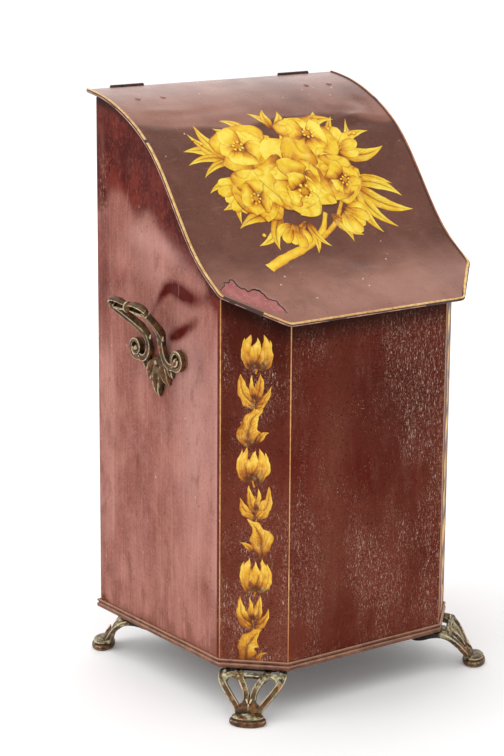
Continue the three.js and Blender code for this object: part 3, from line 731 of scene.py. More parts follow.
def paint_lid():
    """Brown red lid paint, smooth and still shining, painted paler along the top and the bottom as painted sheen and
    painted top light.
    """
    k = Look("painted_lid")
    edge, bloom = k.attr("edge"), k.attr("bloom")
    cloud = k.noise(14, 4, 0.55)
    dark = k.mix(k.step(cloud, 0.3, 0.72), srgb(90, 50, 37), srgb(110, 66, 52))
    pale = k.mix(k.step(k.noise(20, 4, 0.6, k.scaled(1, 1, 1, (0.3, 0.4, 0.8))), 0.32, 0.7), srgb(140, 92, 76), srgb(160, 112, 96))
    # painted sheen and painted top light: where it is high the colour goes pale
    f = k.step(k.add(bloom, k.add(k.mul(k.add(k.noise(30, 5, 0.62), -0.5), 0.55), k.mul(k.add(k.noise(1.0, 4, 0.6, k.scaled(26, 90, 90, (0.2, 0.2, 0.1))), -0.5), 0.45))), 0.02, 0.98)
    base = k.mix(f, dark, pale)
    mott = k.noise(55, 5, 0.65)
    base = k.mix(k.mul(k.step(mott, 0.5, 0.78), 0.30), base, srgb(134, 94, 80))
    base = k.mix(k.mul(k.step(k.noise(33, 4, 0.6, k.scaled(1, 1, 1, (0.3, 0.7, 0.2))), 0.55, 0.8), 0.4), base, srgb(74, 36, 26))
    grain = k.noise(560, 4, 0.65)
    base = k.mix(k.mul(k.step(grain, 0.54, 0.74), 0.22), base, srgb(168, 128, 110))
    base = k.mix(k.mul(k.step(grain, 0.45, 0.28), 0.25), base, srgb(58, 28, 20))
    # faint rub marks and pin chips
    rub = k.noise(1.0, 5, 0.65, k.scaled(45, 300, 300))
    base = k.mix(k.mul(k.step(rub, 0.58, 0.76), 0.28), base, srgb(170, 130, 114))
    chips = k.mul(k.math("LESS_THAN", k.cells(85), 0.075), k.step(k.noise(19, 2, 0.5), 0.53, 0.6))
    base = k.mix(k.mul(chips, 0.85), base, srgb(224, 200, 180))
    pits = k.mul(k.math("LESS_THAN", k.cells(120, k.scaled(1, 1, 1, (0.1, 0.2, 0.9))), 0.08), k.step(k.noise(27, 2, 0.5), 0.50, 0.6))
    base = k.mix(k.mul(pits, 0.8), base, srgb(44, 20, 15))
    e = k.step(k.add(edge, k.mul(k.add(k.noise(210, 4, 0.6), -0.5), 0.8)), 0.66, 0.82)
    base = k.mix(k.mul(e, 0.6), base, srgb(58, 28, 20))
    h = k.add(k.mul(k.noise(800, 3, 0.5), 0.3), k.mul(k.noise(70, 4, 0.6), 1.2))
    rough = k.lin(mott, 0.3, 0.75, 0.25, 0.34)
    return k.surface(Base_Color=base, Roughness=rough, Normal=k.bump(h, 0.0001, 0.5), Specular_IOR_Level=0.3)


def paint_plain(name, a, b, worn, rough=0.5):
    """Dark paint rubbed through on the high places."""
    k = Look(name)
    edge = k.attr("edge")
    base = k.mix(k.noise(60, 5, 0.6), a, b)
    w = k.step(k.add(edge, k.mul(k.add(k.noise(260, 5, 0.65), -0.5), 1.1)), 0.55, 0.8)
    base = k.mix(k.mul(w, 0.85), base, worn)
    h = k.add(k.mul(k.noise(500, 4, 0.6), 0.5), k.mul(w, 0.4))
    return k.surface(Base_Color=base, Roughness=k.mixf(w, rough, 0.62), Normal=k.bump(h, 0.00012, 0.5), Specular_IOR_Level=0.45)


def gilt(name, tone=0.5):
    """Old gold paint line, thin in places."""
    k = Look(name)
    t = k.attr("tone")
    base = k.mix(k.step(k.noise(180, 4, 0.6), 0.3, 0.7), srgb(206, 150, 74), srgb(240, 206, 138))
    base = k.mix(t, base, srgb(184, 112, 58))
    base = k.mix(k.mul(k.step(k.noise(420, 5, 0.7), 0.52, 0.72), 0.6), base, srgb(112, 54, 30))
    h = k.noise(600, 4, 0.6)
    return k.surface(Base_Color=base, Roughness=k.lin(k.noise(90, 3, 0.5), 0.3, 0.7, 0.34, 0.5), Metallic=0.15, Normal=k.bump(h, 0.00008, 0.5), Specular_IOR_Level=0.5)


def flower_paint():
    """Brushed oil colour: each petal's shading is in the mesh, its drawn veins and the brush marks are here."""
    k = Look("flower_paint")
    col = k.attr("shade", "Color")
    u, v, rib = k.attr("across"), k.attr("along"), k.attr("rib")
    n = k.noise(330, 5, 0.65)
    base = k.mix(k.mul(k.step(n, 0.52, 0.76), 0.26), col, srgb(204, 132, 34))
    base = k.mix(k.mul(k.step(k.noise(140, 4, 0.6, k.scaled(1, 1, 1, (0.4, 0.1, 0.3))), 0.5, 0.72), 0.26), base, srgb(255, 240, 140))
    wob = k.mul(k.add(k.noise(150, 3, 0.5), -0.5), 9.0)
    # fine hatching from the petal's foot
    w = k.math("SINE", k.add(k.mul(u, 27.0), wob))
    foot = k.math("SUBTRACT", 1.0, k.step(k.add(v, k.mul(k.add(k.noise(210, 3, 0.6), -0.5), 0.7)), 0.16, 0.66))
    veins = k.mul(k.mul(k.step(w, 0.35, 0.95), foot), k.step(k.noise(260, 3, 0.6), 0.34, 0.56))
    base = k.mix(k.mul(veins, 0.55), base, srgb(140, 70, 20))
    # a leaf's ribs run out from its middle line
    side = k.math("SINE", k.add(k.mul(k.math("SUBTRACT", v, k.mul(k.math("ABSOLUTE", u), 0.30)), 62.0), k.mul(wob, 0.5)))
    ribs = k.mul(k.mul(k.step(side, 0.55, 0.98), rib), k.step(k.math("ABSOLUTE", u), 0.95, 0.55))
    base = k.mix(k.mul(ribs, 0.42), base, srgb(150, 82, 24))
    mid = k.mul(k.step(k.math("ABSOLUTE", u), 0.15, 0.03), k.mul(rib, k.step(v, 0.97, 0.7)))
    base = k.mix(k.mul(mid, 0.6), base, srgb(120, 60, 20))
    rim = k.step(k.math("ABSOLUTE", u), 0.86, 0.99)
    base = k.mix(k.mul(rim, k.lin(k.noise(120, 3, 0.5), 0.35, 0.65, 0.0, 0.7)), base, srgb(150, 84, 28))
    wear = k.step(k.noise(720, 4, 0.7), 0.64, 0.74)
    base = k.mix(k.mul(wear, 0.4), base, srgb(120, 66, 36))
    rubbed = k.mul(k.step(k.noise(400, 5, 0.7, k.scaled(1, 1, 1, (0.2, 0.5, 0.8))), 0.56, 0.66), k.step(k.noise(26, 3, 0.5, k.scaled(1, 1, 1, (0.8, 0.2, 0.1))), 0.56, 0.7))
    base = k.mix(k.mul(rubbed, 0.5), base, srgb(226, 190, 160))
    h = k.add(k.mul(k.noise(480, 4, 0.6), 0.6), n)
    return k.surface(Base_Color=base, Roughness=k.lin(n, 0.3, 0.7, 0.36, 0.5), Normal=k.bump(h, 0.00007, 0.5), Specular_IOR_Level=0.2)


def bare_patch():
    """Pink red undercoat where the top coat has come away."""
    k = Look("undercoat")
    n = k.noise(90, 5, 0.6)
    base = k.mix(k.step(n, 0.35, 0.7), srgb(150, 80, 76), srgb(178, 108, 103))
    base = k.mix(k.mul(k.step(k.noise(320, 4, 0.6), 0.56, 0.74), 0.5), base, srgb(118, 56, 50))
    base = k.mix(k.math("LESS_THAN", k.cells(300), 0.1), base, srgb(232, 196, 180))
    return k.surface(Base_Color=base, Roughness=0.5, Normal=k.bump(k.noise(400, 5, 0.65), 0.00012, 0.6), Specular_IOR_Level=0.4)


def torn_edge_and_shadow():
    # dark broken paint edge, also a painted shadow under the lifted paint
    k = Look("torn_edge")
    base = k.mix(k.noise(300, 4, 0.6), srgb(34, 18, 15), srgb(62, 36, 30))
    return k.surface(Base_Color=base, Roughness=0.8, Normal=k.bump(k.noise(600, 3, 0.5), 0.0001, 0.5))


def moulding_metal():
    """Coppery bottom moulding, its paint rubbed off and rusty."""
    k = Look("moulding_metal")
    edge = k.attr("edge")
    n = k.noise(85, 6, 0.68)
    base = k.mix(k.step(n, 0.34, 0.68), srgb(98, 56, 40), srgb(144, 98, 76))
    base = k.mix(k.mul(k.step(k.noise(300, 5, 0.7), 0.50, 0.66), 0.40), base, srgb(84, 44, 31))
    base = k.mix(k.mul(k.step(k.noise(150, 5, 0.7, k.scaled(1, 1, 1, (0.2, 0.6, 0.1))), 0.58, 0.74), 0.40), base, srgb(170, 104, 60))
    base = k.mix(k.mul(k.step(k.noise(210, 5, 0.7, k.scaled(1, 1, 1, (0.7, 0.1, 0.5))), 0.60, 0.72), 0.4), base, srgb(196, 154, 126))
    w = k.step(k.add(edge, k.mul(k.add(k.noise(120, 4, 0.6), -0.5), 0.35)), 0.42, 0.68)
    base = k.mix(k.mul(w, 0.55), base, srgb(200, 156, 128))
    # painted shade: dark in the groove between the beads and on the hidden back faces
    d = k.step(k.attr("deep"), 0.3, 0.8)
    base = k.mix(k.mul(d, 0.92), base, srgb(38, 16, 11))
    h = k.add(k.mul(k.noise(420, 5, 0.65), 0.8), k.noise(110, 4, 0.6))
    return k.surface(Base_Color=base, Roughness=k.lin(n, 0.3, 0.7, 0.45, 0.68), Metallic=0.2, Normal=k.bump(h, 0.0003, 0.8), Specular_IOR_Level=0.35)


def cast_metal():
    """Old cast brass: olive brown, darkened nearly to black in the hollows as painted shade, pale on the ridges as
    rubbed metal and painted highlight, touched with verdigris and rust.
    """
    k = Look("cast_brass_old")
    ridge, hollow, pale, brown = k.attr("ridge"), k.attr("hollow"), k.attr("pale"), k.attr("brown")
    n = k.noise(90, 6, 0.65)
    base = k.mix(k.step(n, 0.36, 0.64), srgb(50, 37, 20), srgb(116, 94, 60))
    # reddish brown tarnish
    t = k.step(k.add(k.noise(75, 5, 0.65, k.scaled(1, 1, 1, (0.3, 0.1, 0.6))), k.mul(k.add(brown, -0.5), 0.22)), 0.46, 0.62)
    base = k.mix(k.mul(t, 0.8), base, k.mix(k.step(k.noise(230, 4, 0.6), 0.36, 0.64), srgb(72, 38, 19), srgb(142, 86, 46)))
    o = k.mul(k.step(k.noise(110, 5, 0.65, k.scaled(1, 1, 1, (0.7, 0.4, 0.2))), 0.58, 0.68), 0.75)
    base = k.mix(o, base, srgb(190, 112, 44))
    # pale green crust
    g = k.step(k.add(k.noise(95, 6, 0.72, k.scaled(1, 1, 1, (0.9, 0.8, 0.5))), k.mul(pale, 0.10)), 0.55, 0.66)
    base = k.mix(k.mul(g, 0.75), base, k.mix(k.step(k.noise(260, 4, 0.6), 0.34, 0.66), srgb(128, 120, 84), srgb(206, 200, 162)))
    # painted shade: the hollows are darkened nearly to black, and so are the parts under the box or close against the
    # panel
    base = k.mix(k.mul(k.step(hollow, 0.10, 0.50), 0.95), base, srgb(20, 11, 7))
    r = k.step(k.add(ridge, k.mul(k.add(k.noise(300, 5, 0.65), -0.5), 0.6)), 0.27, 0.58)
    # the handles were gripped and stayed darker than the feet
    base = k.mix(k.lin(pale, -0.6, 0.2, 0.24, 0.0), base, srgb(52, 35, 18))
    # painted highlight along the ridges, coloured as rubbed bright brass
    base = k.mix(k.mul(r, k.lin(pale, -0.6, 0.2, 0.66, 0.80)), base, srgb(230, 210, 172))
    h = k.add(k.mul(k.noise(520, 5, 0.65), 0.6), k.add(k.noise(140, 5, 0.6), k.mul(g, 0.5)))
    metal = k.math("MULTIPLY", k.math("SUBTRACT", 1.0, g), 0.55)
    rough = k.mixf(r, k.lin(n, 0.3, 0.7, 0.40, 0.58), 0.28)
    rough = k.mixf(g, rough, 0.75)
    return k.surface(Base_Color=base, Roughness=rough, Metallic=metal, Normal=k.bump(h, 0.0003, 0.8), Specular_IOR_Level=0.5)


def iron(name, a, b, worn, metal=0.6, rough=(0.45, 0.7)):
    k = Look(name)
    n = k.noise(110, 6, 0.65)
    base = k.mix(k.step(n, 0.34, 0.7), a, b)
    base = k.mix(k.mul(k.step(k.noise(300, 5, 0.7, k.scaled(1, 1, 1, (0.4, 0.2, 0.9))), 0.56, 0.74), 0.6), base, worn)
    h = k.add(k.mul(k.noise(480, 5, 0.65), 0.6), n)
    return k.surface(Base_Color=base, Roughness=k.lin(n, 0.3, 0.7, *rough), Metallic=metal, Normal=k.bump(h, 0.00015, 0.6), Specular_IOR_Level=0.5)


def coal_pan():
    """Blackened liner sheet with grey coal dust and rubbed rims."""
    k = Look("liner_sheet")
    edge = k.attr("edge")
    n = k.noise(40, 6, 0.65)
    base = k.mix(k.step(n, 0.35, 0.7), srgb(70, 67, 64), srgb(122, 116, 108))
    base = k.mix(k.mul(k.step(k.noise(1.0, 5, 0.6, k.scaled(160, 160, 12)), 0.55, 0.75), 0.5), base, srgb(152, 144, 134))
    base = k.mix(k.mul(k.step(k.noise(120, 6, 0.7, k.scaled(1, 1, 1, (0.2, 0.5, 0.4))), 0.56, 0.7), 0.6), base, srgb(126, 76, 46))
    w = k.step(k.add(edge, k.mul(k.add(k.noise(240, 5, 0.65), -0.5), 0.9)), 0.6, 0.85)
    base = k.mix(k.mul(w, 0.7), base, srgb(186, 178, 166))
    h = k.add(k.mul(k.noise(500, 4, 0.6), 0.5), k.noise(70, 4, 0.6))
    return k.surface(Base_Color=base, Roughness=k.lin(n, 0.3, 0.7, 0.5, 0.78), Metallic=0.55, Normal=k.bump(h, 0.0002, 0.6))


M_SIDE, M_FRONT, M_LID = paint_side(), paint_front(), paint_lid()
M_ROLL = paint_plain("painted_roll", srgb(50, 24, 20), srgb(74, 36, 30), srgb(150, 112, 86))
M_INSIDE = paint_plain("inside_paint", srgb(58, 30, 26), srgb(80, 44, 38), srgb(104, 74, 58), 0.62)
M_RIM = paint_plain("painted_rim", srgb(82, 42, 36), srgb(112, 62, 52), srgb(206, 168, 142))
M_GILT = gilt("gilt_line")
M_FLOWER, M_PATCH, M_TORN_EDGE_SHADOW = flower_paint(), bare_patch(), torn_edge_and_shadow()
M_MOULD, M_CAST = moulding_metal(), cast_metal()
M_IRON = iron("dark_iron", srgb(42, 32, 28), srgb(74, 56, 46), srgb(128, 84, 56))
M_STEEL = iron("hinge_steel", srgb(48, 26, 22), srgb(76, 44, 38), srgb(120, 96, 84), 0.45, (0.4, 0.6))
M_PAN = coal_pan()
M_ROLL_HIGHLIGHT = iron("roll_highlight_and_wear", srgb(150, 104, 86), srgb(214, 174, 152), srgb(238, 206, 184), 0.2, (0.4, 0.6))

# ---------------------------------------------------------------- sheet body
def panel(name, q0, q1, material, replaces, step=3.4, z_step=3.4, slot="painted_sheet"):
    folds = [q for q in BS if q0 < q < q1]
    n = max(2, int((q1 - q0) / step))
    q = np.unique(np.round(np.r_[np.linspace(q0, q1, n + 1), folds], 3))
    keep = [q[0]]
    for v in q[1:]:
        if v - keep[-1] > 0.15:
            keep.append(v)
    keep[-1] = q1
    q = np.array(keep)
    m = int(494 / z_step)
    t = np.linspace(0, 1, m + 1)
    t = np.unique(np.r_[t, 0.003, 0.997])
    top = body_top(q)
    Q = np.broadcast_to(q[None, :], (len(t), len(q)))
    Z = t[:, None] * top[None, :]
    outer = body_point(Q, Z)
    inner = body_point(Q, Z, -SHEET)
    v, f = slab(outer, inner)
    # wear: near the folds, the bottom and the back corner
    x, y, nx, ny = body_at(Q)
    fold = np.min([np.abs(Q - c) for c in (Q_BACK_L, Q_SIDE_L, Q_FRONT_L, Q_FRONT_R, Q_SIDE_R, Q_BACK_R)], axis=0)
    edge = 0.62 * np.exp(-(fold / 1.9) ** 2)
    backc = np.min([np.abs(Q - c) for c in (Q_BACK_L, Q_BACK_R)], axis=0)
    rust = 0.60 * np.exp(-(Z / 13.0)) + 0.17 * np.exp(-(Z / 40.0)) + 0.34 * np.exp(-(backc / 6.0)) + 0.1 * np.exp(-(backc / 20.0)) + 0.12 * np.exp(-(fold / 4.0)) + 0.12 * np.exp(-((top[None, :] - Z) / 6.0))
    bloom = sheen_and_bloom_of(Q, Z, y)
    rub = rub_of(Q, Z)
    # painted highlight: pale bands of reflected light on the left side; the right side takes a random amount of the
    # same pale colour
    highlight_amt = 0.9 * smooth(-62, -75, y) * smooth(30, 80, Z) * smooth(325, 270, Z) + 0.4 * smooth(88, 104, y) * smooth(40, 90, Z) * smooth(290, 240, Z) + 0.6 * bump(y, Z, 26, 347, 26, 12) - 0.3 * smooth(75, 30, Z) + bump(y, Z, 40, 374, 26, 15, 0.15) + 0.8 * bump(y, Z, -4, 366, 30, 10, 0.35) + 0.85 * bump(y, Z, -38, 200, 26, 95) + 0.5 * bump(y, Z, -20, 268, 40, 34) - 0.4 * bump(y, Z, 50, 40, 60, 40)
    highlight_amt = np.where(x < -HW + 3, highlight_amt, 0.35 + 0.3 * noise2(Q, Z, 80, 38)) * (np.abs(nx) > 0.9)
    # paler paint low on the corners and in a patch left of the front's middle
    pinkish = np.where((np.abs(x) > HW - CORNER + 1) & (y < -HD + CORNER), 0.55 * smooth(260, 40, Z) + 0.05, 0.75 * bump(x, Z, -48, 170, 22, 110) + 0.25 * bump(x, Z, 0, 110, 90, 40) - 0.06)
    pinkish = np.where(y < 0, pinkish, 0)
    lean = np.interp(np.interp(y, LC[:, 0], LS), LS, LNZ)
    # painted shadow under the lid's overhang, on the sides and the front
    soot = np.where(np.abs(nx) > 0.9, 0.8 * smooth(17.0, 10.0, (lid_line_z(y, 0.0) - Z) * lean), 0.85 * smooth(30.0, 5.0, top[None, :] - Z))
    dim = np.where((np.abs(x) > HW - CORNER + 2) & (np.abs(x) < HW - 2) & (y < 0), 0.75 * smooth(120, 330, Z) + 0.15, 0.75 * bump(x, Z, 30, 245, 62, 78) * (y < 0))
    flat = lambda g: np.r_[(g + 0 * Z).ravel(), 0 * Z.ravel()]
    a = {"edge": flat(edge), "rust": np.r_[rust.ravel(), rust.ravel()], "bloom": np.r_[bloom.ravel(), 0.1 + 0 * bloom.ravel()],
         "rub": flat(rub), "soot": np.r_[(soot + 0 * Z).ravel(), 0.6 + 0 * Z.ravel()], "dim": flat(dim), "chipped": flat(np.where(x < -HW + 3, 0.9 * bump(y, Z, 112, 412, 9, 52) + 0.45 * bump(y, Z, 96, 452, 12, 24) + 0.35 * bump(y, Z, 60, 440, 16, 12), 0.0)), "stain": flat(stain_of(Q, Z, y)), "glow": flat(np.clip(highlight_amt, 0, 1)), "faded": flat(np.clip(pinkish, 0, 1))}
    return mesh_object(name, v, f, material, "case", replaces, slot, attrs=a, recalc=True)


def sheen_and_bloom_of(q, z, y):
    """Where the paint is made pale: on the left side this is painted sheen, reflected light painted into the colour,
    held back as painted shade under the top edge, round the dents and round the handle; on the other sides it is a
    paler tone that varies at random.
    """
    left = (q > Q_BACK_L) & (q < Q_SIDE_L)
    line = np.interp(y, [-70, -45, -24, 13, 40, 70, 96, 123], [322, 346, 366, 388, 400, 410, 410, 400]) + 4 * np.sin(y / 11.0)
    dark = smooth(-18, 16, z - line + 7 * noise2(y + 0.4 * z, z - 0.4 * y, 22, 35)) * (0.94 + 0.12 * noise2(y, z, 24, 31))
    near = lid_line_z(y, 0.0) - z
    dark = np.maximum(dark, 0.45 * smooth(40, 12, near) * smooth(-84, -54, y))
    dark = np.maximum(dark, 0.42 * bump(y, z, 22, 286, 8, 24))
    dark = np.maximum(dark, 0.30 * bump(y, z, 14, 250, 34, 34))
    dark = np.maximum(dark, 0.52 * bump(y, z, -44, 270, 16, 26))
    dark = dark - 0.62 * bump(y, z, 112, 452, 9, 30)
    dark = np.maximum(dark, 0.45 * bump(y, z, 112, 330, 14, 60))
    dark = np.maximum(dark, 0.30 * bump(y, z, 70, 250, 26, 50, 0.3))
    b = 0.74 + 0.13 * noise2(y, z, 60, 32) + 0.08 * noise2(y, z, 22, 33) + 0.10 * smooth(40, -80, y)
    side = b * (1 - dark) - 0.12 * dark
    wq, wz = q + 34 * noise2(q, z, 47, 71), z + 40 * noise2(z, q, 61, 72)
    other = 0.50 + 0.15 * noise2(0.8 * wq + 0.6 * wz, 0.8 * wz - 0.6 * wq, 83, 34) + 0.08 * noise2(0.6 * wq - 0.8 * wz, 0.8 * wq + 0.6 * wz, 31, 73) - 0.30 * smooth(0, 90, z - 380)
    back = np.abs(y) > HD - 0.6
    other = np.where(back & (y > 0), other - 0.06, other)
    return np.where(left, side, other)


def stain_of(q, z, y):
    """Two dark marks above the left handle: a hook and a smear."""
    left = (q > Q_BACK_L) & (q < Q_SIDE_L)
    out = 0 * z
    hook = [(32, 301, 2.0, 0.25), (23, 313, 2.8, 0.5), (14, 325, 3.8, 0.8), (4, 333.5, 5.4, 1.0), (-7, 335, 7.4, 1.1), (-19, 332.5, 8.2, 1.1), (-32, 330.5, 8.2, 0.85), (-46, 331, 7.4, 0.5), (-60, 335, 6.0, 0.2)]
    smear = [(-3, 289, 3.8, 0.9), (-13, 294, 5.0, 1.05), (-23, 300, 5.2, 0.85), (-35, 307, 4.8, 0.55), (-48, 316, 4.4, 0.22)]
    for marks in (hook, smear):
        for (y0, z0, r0, s0), (y1, z1, r1, s1) in zip(marks, marks[1:]):
            ax, az = (y - y0) * 0.75, z - z0
            bx, bz = (y1 - y0) * 0.75, z1 - z0
            t = np.clip((ax * bx + az * bz) / (bx * bx + bz * bz), 0, 1)
            d = np.hypot(ax - t * bx, az - t * bz)
            r = r0 + (r1 - r0) * t
            out = np.maximum(out, (s0 + (s1 - s0) * t) * np.exp(-(d / r) ** 2))
    return np.where(left, out, 0.0)


def rub_of(q, z):
    """How far the front's paint has been rubbed: most at the upper right and along the folds."""
    x, y, nx, ny = body_at(q)
    r = 1.0 * bump(x, z, 52, 262, 34, 48) + 0.7 * bump(x, z, 84, 180, 12, 150) + 0.35 * bump(x, z, 20, 306, 90, 16) + 0.45 * bump(x, z, 30, 70, 60, 70)
    r = r + 1.6 * bump(x, z, 88, 80, 10, 85) + 0.35 * bump(x, z, -70, 120, 22, 130) - 0.45 * bump(x, z, -50, 215, 30, 60) - 0.35 * bump(x, z, 10, 175, 32, 40)
    cham = (np.abs(x) > HW - CORNER + 1) & (y < -HD + CORNER)
    r = np.where(cham, 0.02 + 0.4 * noise2(q, z, 30, 36) + 0.35 * smooth(220, 40, z), r)
    return r + 0.25 * noise2(q, z, 26, 37)


SPLIT = 4.0
panel("left_panel_sheet", Q_BACK_L + 1.2, Q_SIDE_L - SPLIT, M_SIDE, ["left_side_panel"])
panel("front_and_corners_sheet", Q_SIDE_L - SPLIT, Q_SIDE_R + SPLIT, M_FRONT, ["front_sheet"])
panel("right_panel_sheet", Q_SIDE_R + SPLIT, Q_BACK_R - 1.2, M_SIDE, ["right_side_panel"])


def back_sheet():
    """The back panel closes the body outline behind; its path wraps past the start."""
    qa = np.linspace(Q_BACK_R - 1.2, BS[-1], 44)
    qb = np.linspace(0, Q_BACK_L + 1.2, 44)
    fine_r = [q for q in BS if Q_BACK_R - 1.2 < q < Q_BACK_R + 3]
    fine_l = [q for q in BS if Q_BACK_L - 3 < q < Q_BACK_L + 1.2]
    qa = np.unique(np.round(np.r_[qa, fine_r], 3))
    qb = np.unique(np.round(np.r_[qb, fine_l], 3))
    q = np.r_[qa[:-1], qb]
    t = np.unique(np.r_[np.linspace(0, 1, 130), 0.003, 0.997])
    top = body_top(q)
    Q = np.broadcast_to(q[None, :], (len(t), len(q)))
    Z = t[:, None] * top[None, :]
    v, f = slab(body_point(Q, Z), body_point(Q, Z, -SHEET))
    x, y, nx, ny = body_at(Q)
    backc = np.min([np.abs(Q - c) for c in (Q_BACK_L, Q_BACK_R)], axis=0)
    edge = 0.6 * np.exp(-(backc / 1.9) ** 2)
    rust = 0.5 * np.exp(-(Z / 12.0)) + 0.3 * np.exp(-(backc / 5.0)) + 0.16 * np.exp(-((top[None, :] - Z) / 8.0))
    bloom = sheen_and_bloom_of(Q, Z, y)
    a = {"edge": np.r_[edge.ravel(), 0 * edge.ravel()], "rust": np.r_[rust.ravel(), rust.ravel()], "bloom": np.r_[bloom.ravel(), 0.1 + 0 * bloom.ravel()], "soot": np.r_[0 * bloom.ravel(), 0.6 + 0 * bloom.ravel()]}
    return mesh_object("back_panel_sheet", v, f, M_SIDE, "case", ["back_panel"], "painted_sheet", attrs=a)


back_sheet()


# rolled rims on top of the panels
def rim_path(q0, q1, step=3.0):
    q = np.linspace(q0, q1, max(3, int(abs(q1 - q0) / step)))
    x, y, nx, ny = body_at(q)
    inset = RIM_R + 0.1
    side = lid_line_z(y, RIM_TOP - RIM_R)
    z = side - np.where(y < -HD + CORNER - 1, 0.4, 0.0)
    return np.stack([x - nx * inset, y - ny * inset, z], -1)


def rim(name, path, replaces):
    v, f = tube(path, RIM_R, 12)
    top = (v[:, 2] - v[:, 2].min())
    p = Pile()
    n = len(v)
    # the upper outer quarter is rubbed to a light line, which also serves as a painted highlight along the bead's top
    ring = np.arange(n) % 12
    up = np.sin(2 * np.pi * ring / 12)
    out = np.abs(np.cos(2 * np.pi * ring / 12))
    p.add((v, f), edge=0.35 + 0.4 * np.clip(up, 0, 1) + 0.0 * out)
    return p.object(name, M_RIM, "case", replaces=replaces, slot="painted_sheet")


rim("left_rim_bead", rim_path(Q_BACK_L + 4.5, Q_SIDE_L - 0.2), ["left_rim_roll"])
rim("right_rim_bead", rim_path(Q_SIDE_R + 0.2, Q_BACK_R - 4.5), ["right_rim_roll"])
rim("front_rim_bead", rim_path(Q_SIDE_L + 1.0, Q_SIDE_R - 1.0, 2.0), ["front_rim_roll"])
_bx = np.linspace(-HW + 4, HW - 4, 60)
rim("back_rim_bead", np.stack([_bx, 0 * _bx + HD - 2.2, 0 * _bx + 494 + 0.3 + RIM_R + 0.1 * noise2(_bx, 0 * _bx, 30, 41)], -1), ["back_rim_roll"])


# ---------------------------------------------------------------- bottom moulding
def moulding():
    """Two beads with a groove between, run round the plan with mitred corners."""
    # the last column is painted shade, darkest in the groove
    prof = []  # (out from the panel, z, edge wear, depth in the groove)
    for a in np.linspace(90, -70, 9):
        prof.append((0.9 + 1.25 * math.cos(math.radians(a)), 1.6 + 1.3 * math.sin(math.radians(a)), 0.66 if 20 < a < 95 else 0.3, 0.0))
    prof.append((1.05, -0.25, 0.0, 0.95))
    for a in np.linspace(75, -90, 11):
        prof.append((0.55 + 1.75 * math.cos(math.radians(a)), -2.95 + 2.5 * math.sin(math.radians(a)), 0.58 if 10 < a < 60 else (0.5 if a < -50 else 0.25), 0.0))
    prof += [(-8.0, -5.45, 0.0, 0.4), (-8.0, -1.6, 0.0, 0.5), (0.32, -1.6, 0.0, 0.5), (0.32, 2.8, 0.2, 0.3)]
    prof = np.array(prof)
    x0, y0 = HW, HD
    base = np.array([(-x0, y0), (-x0, -y0 + CORNER), (-x0 + CORNER, -y0), (x0 - CORNER, -y0), (x0, -y0 + CORNER), (x0, y0)], float)
    n = len(base)
    rings = []
    for i in range(n):
        a, b, c = base[i - 1], base[i], base[(i + 1) % n]
        d0, d1 = (b - a) / np.linalg.norm(b - a), (c - b) / np.linalg.norm(c - b)
        n0, n1 = np.array([d0[1], -d0[0]]), np.array([d1[1], -d1[0]])
        # the outline runs down the left side first, so outwards is to its right
        m = (n0 + n1) / (1 + n0 @ n1)
        rings.append((b, m, d0, d1))
    V, E, D = [], [], []
    for i in range(n):
        b, m, d0, d1 = rings[i]
        c, mc = rings[(i + 1) % n][:2]
        k = max(2, int(np.linalg.norm(c - b) / 6))
        for t in np.linspace(0, 1, k, endpoint=False):
            p, o = b + (c - b) * t, m + (mc - m) * t if 0 < t else m
            if t > 0:
                d = (c - b) / np.linalg.norm(c - b)
                nn = np.array([d[1], -d[0]])
                o = nn
            wob = 0.12 * noise2(p[0] + 300, p[1] + 300, 26, 51)
            for (u, z, e, g) in prof:
                push = u + (wob if u > 0.2 else 0)
                V.append((p[0] + o[0] * push, p[1] + o[1] * push, z + (0.10 * noise2(p[0], p[1], 33, 52) if u > 0.2 else 0)))
                E.append(e)
                D.append(g)
    V = np.array(V)
    m = len(prof)
    r = len(V) // m
    f = [((i * m + j), (i * m + (j + 1) % m), (((i + 1) % r) * m + (j + 1) % m), (((i + 1) % r) * m + j)) for i in range(r) for j in range(m)]
    return mesh_object("base_moulding_beads", V, f, M_MOULD, "case", ["base_moulding"], "moulding", angle=50, attrs={"edge": E, "deep": D})


moulding()


# ---------------------------------------------------------------- lid
def lid_painted_light(x, s):
    """Where the lid is painted paler, as painted sheen and painted top light: above the upper crease and on the lower
    apron.
    """
    line = 232 + 3.5 * np.sin(x / 31.0) + 2.0 * np.sin(x / 13.0 + 1.0) - 10 * smooth(60, 140, x) + 6 * smooth(-70, -130, x)
    b = smooth(-4, 7, s - line) * (0.60 + 0.2 * noise2(x, s, 34, 16) + 0.16 * smooth(60, -100, x))
    b = b + (0.95 + 0.16 * noise2(x, s, 40, 17)) * smooth(106, 30, s + 0.02 * x)
    b = b - 0.3 * bump(x, s, 26, 66, 22, 9, 0.3)
    b = b + 0.30 * bump(x, s, -110, 250, 40, 30) + 0.14 * bump(x, s, -126, 150, 14, 60)
    return b


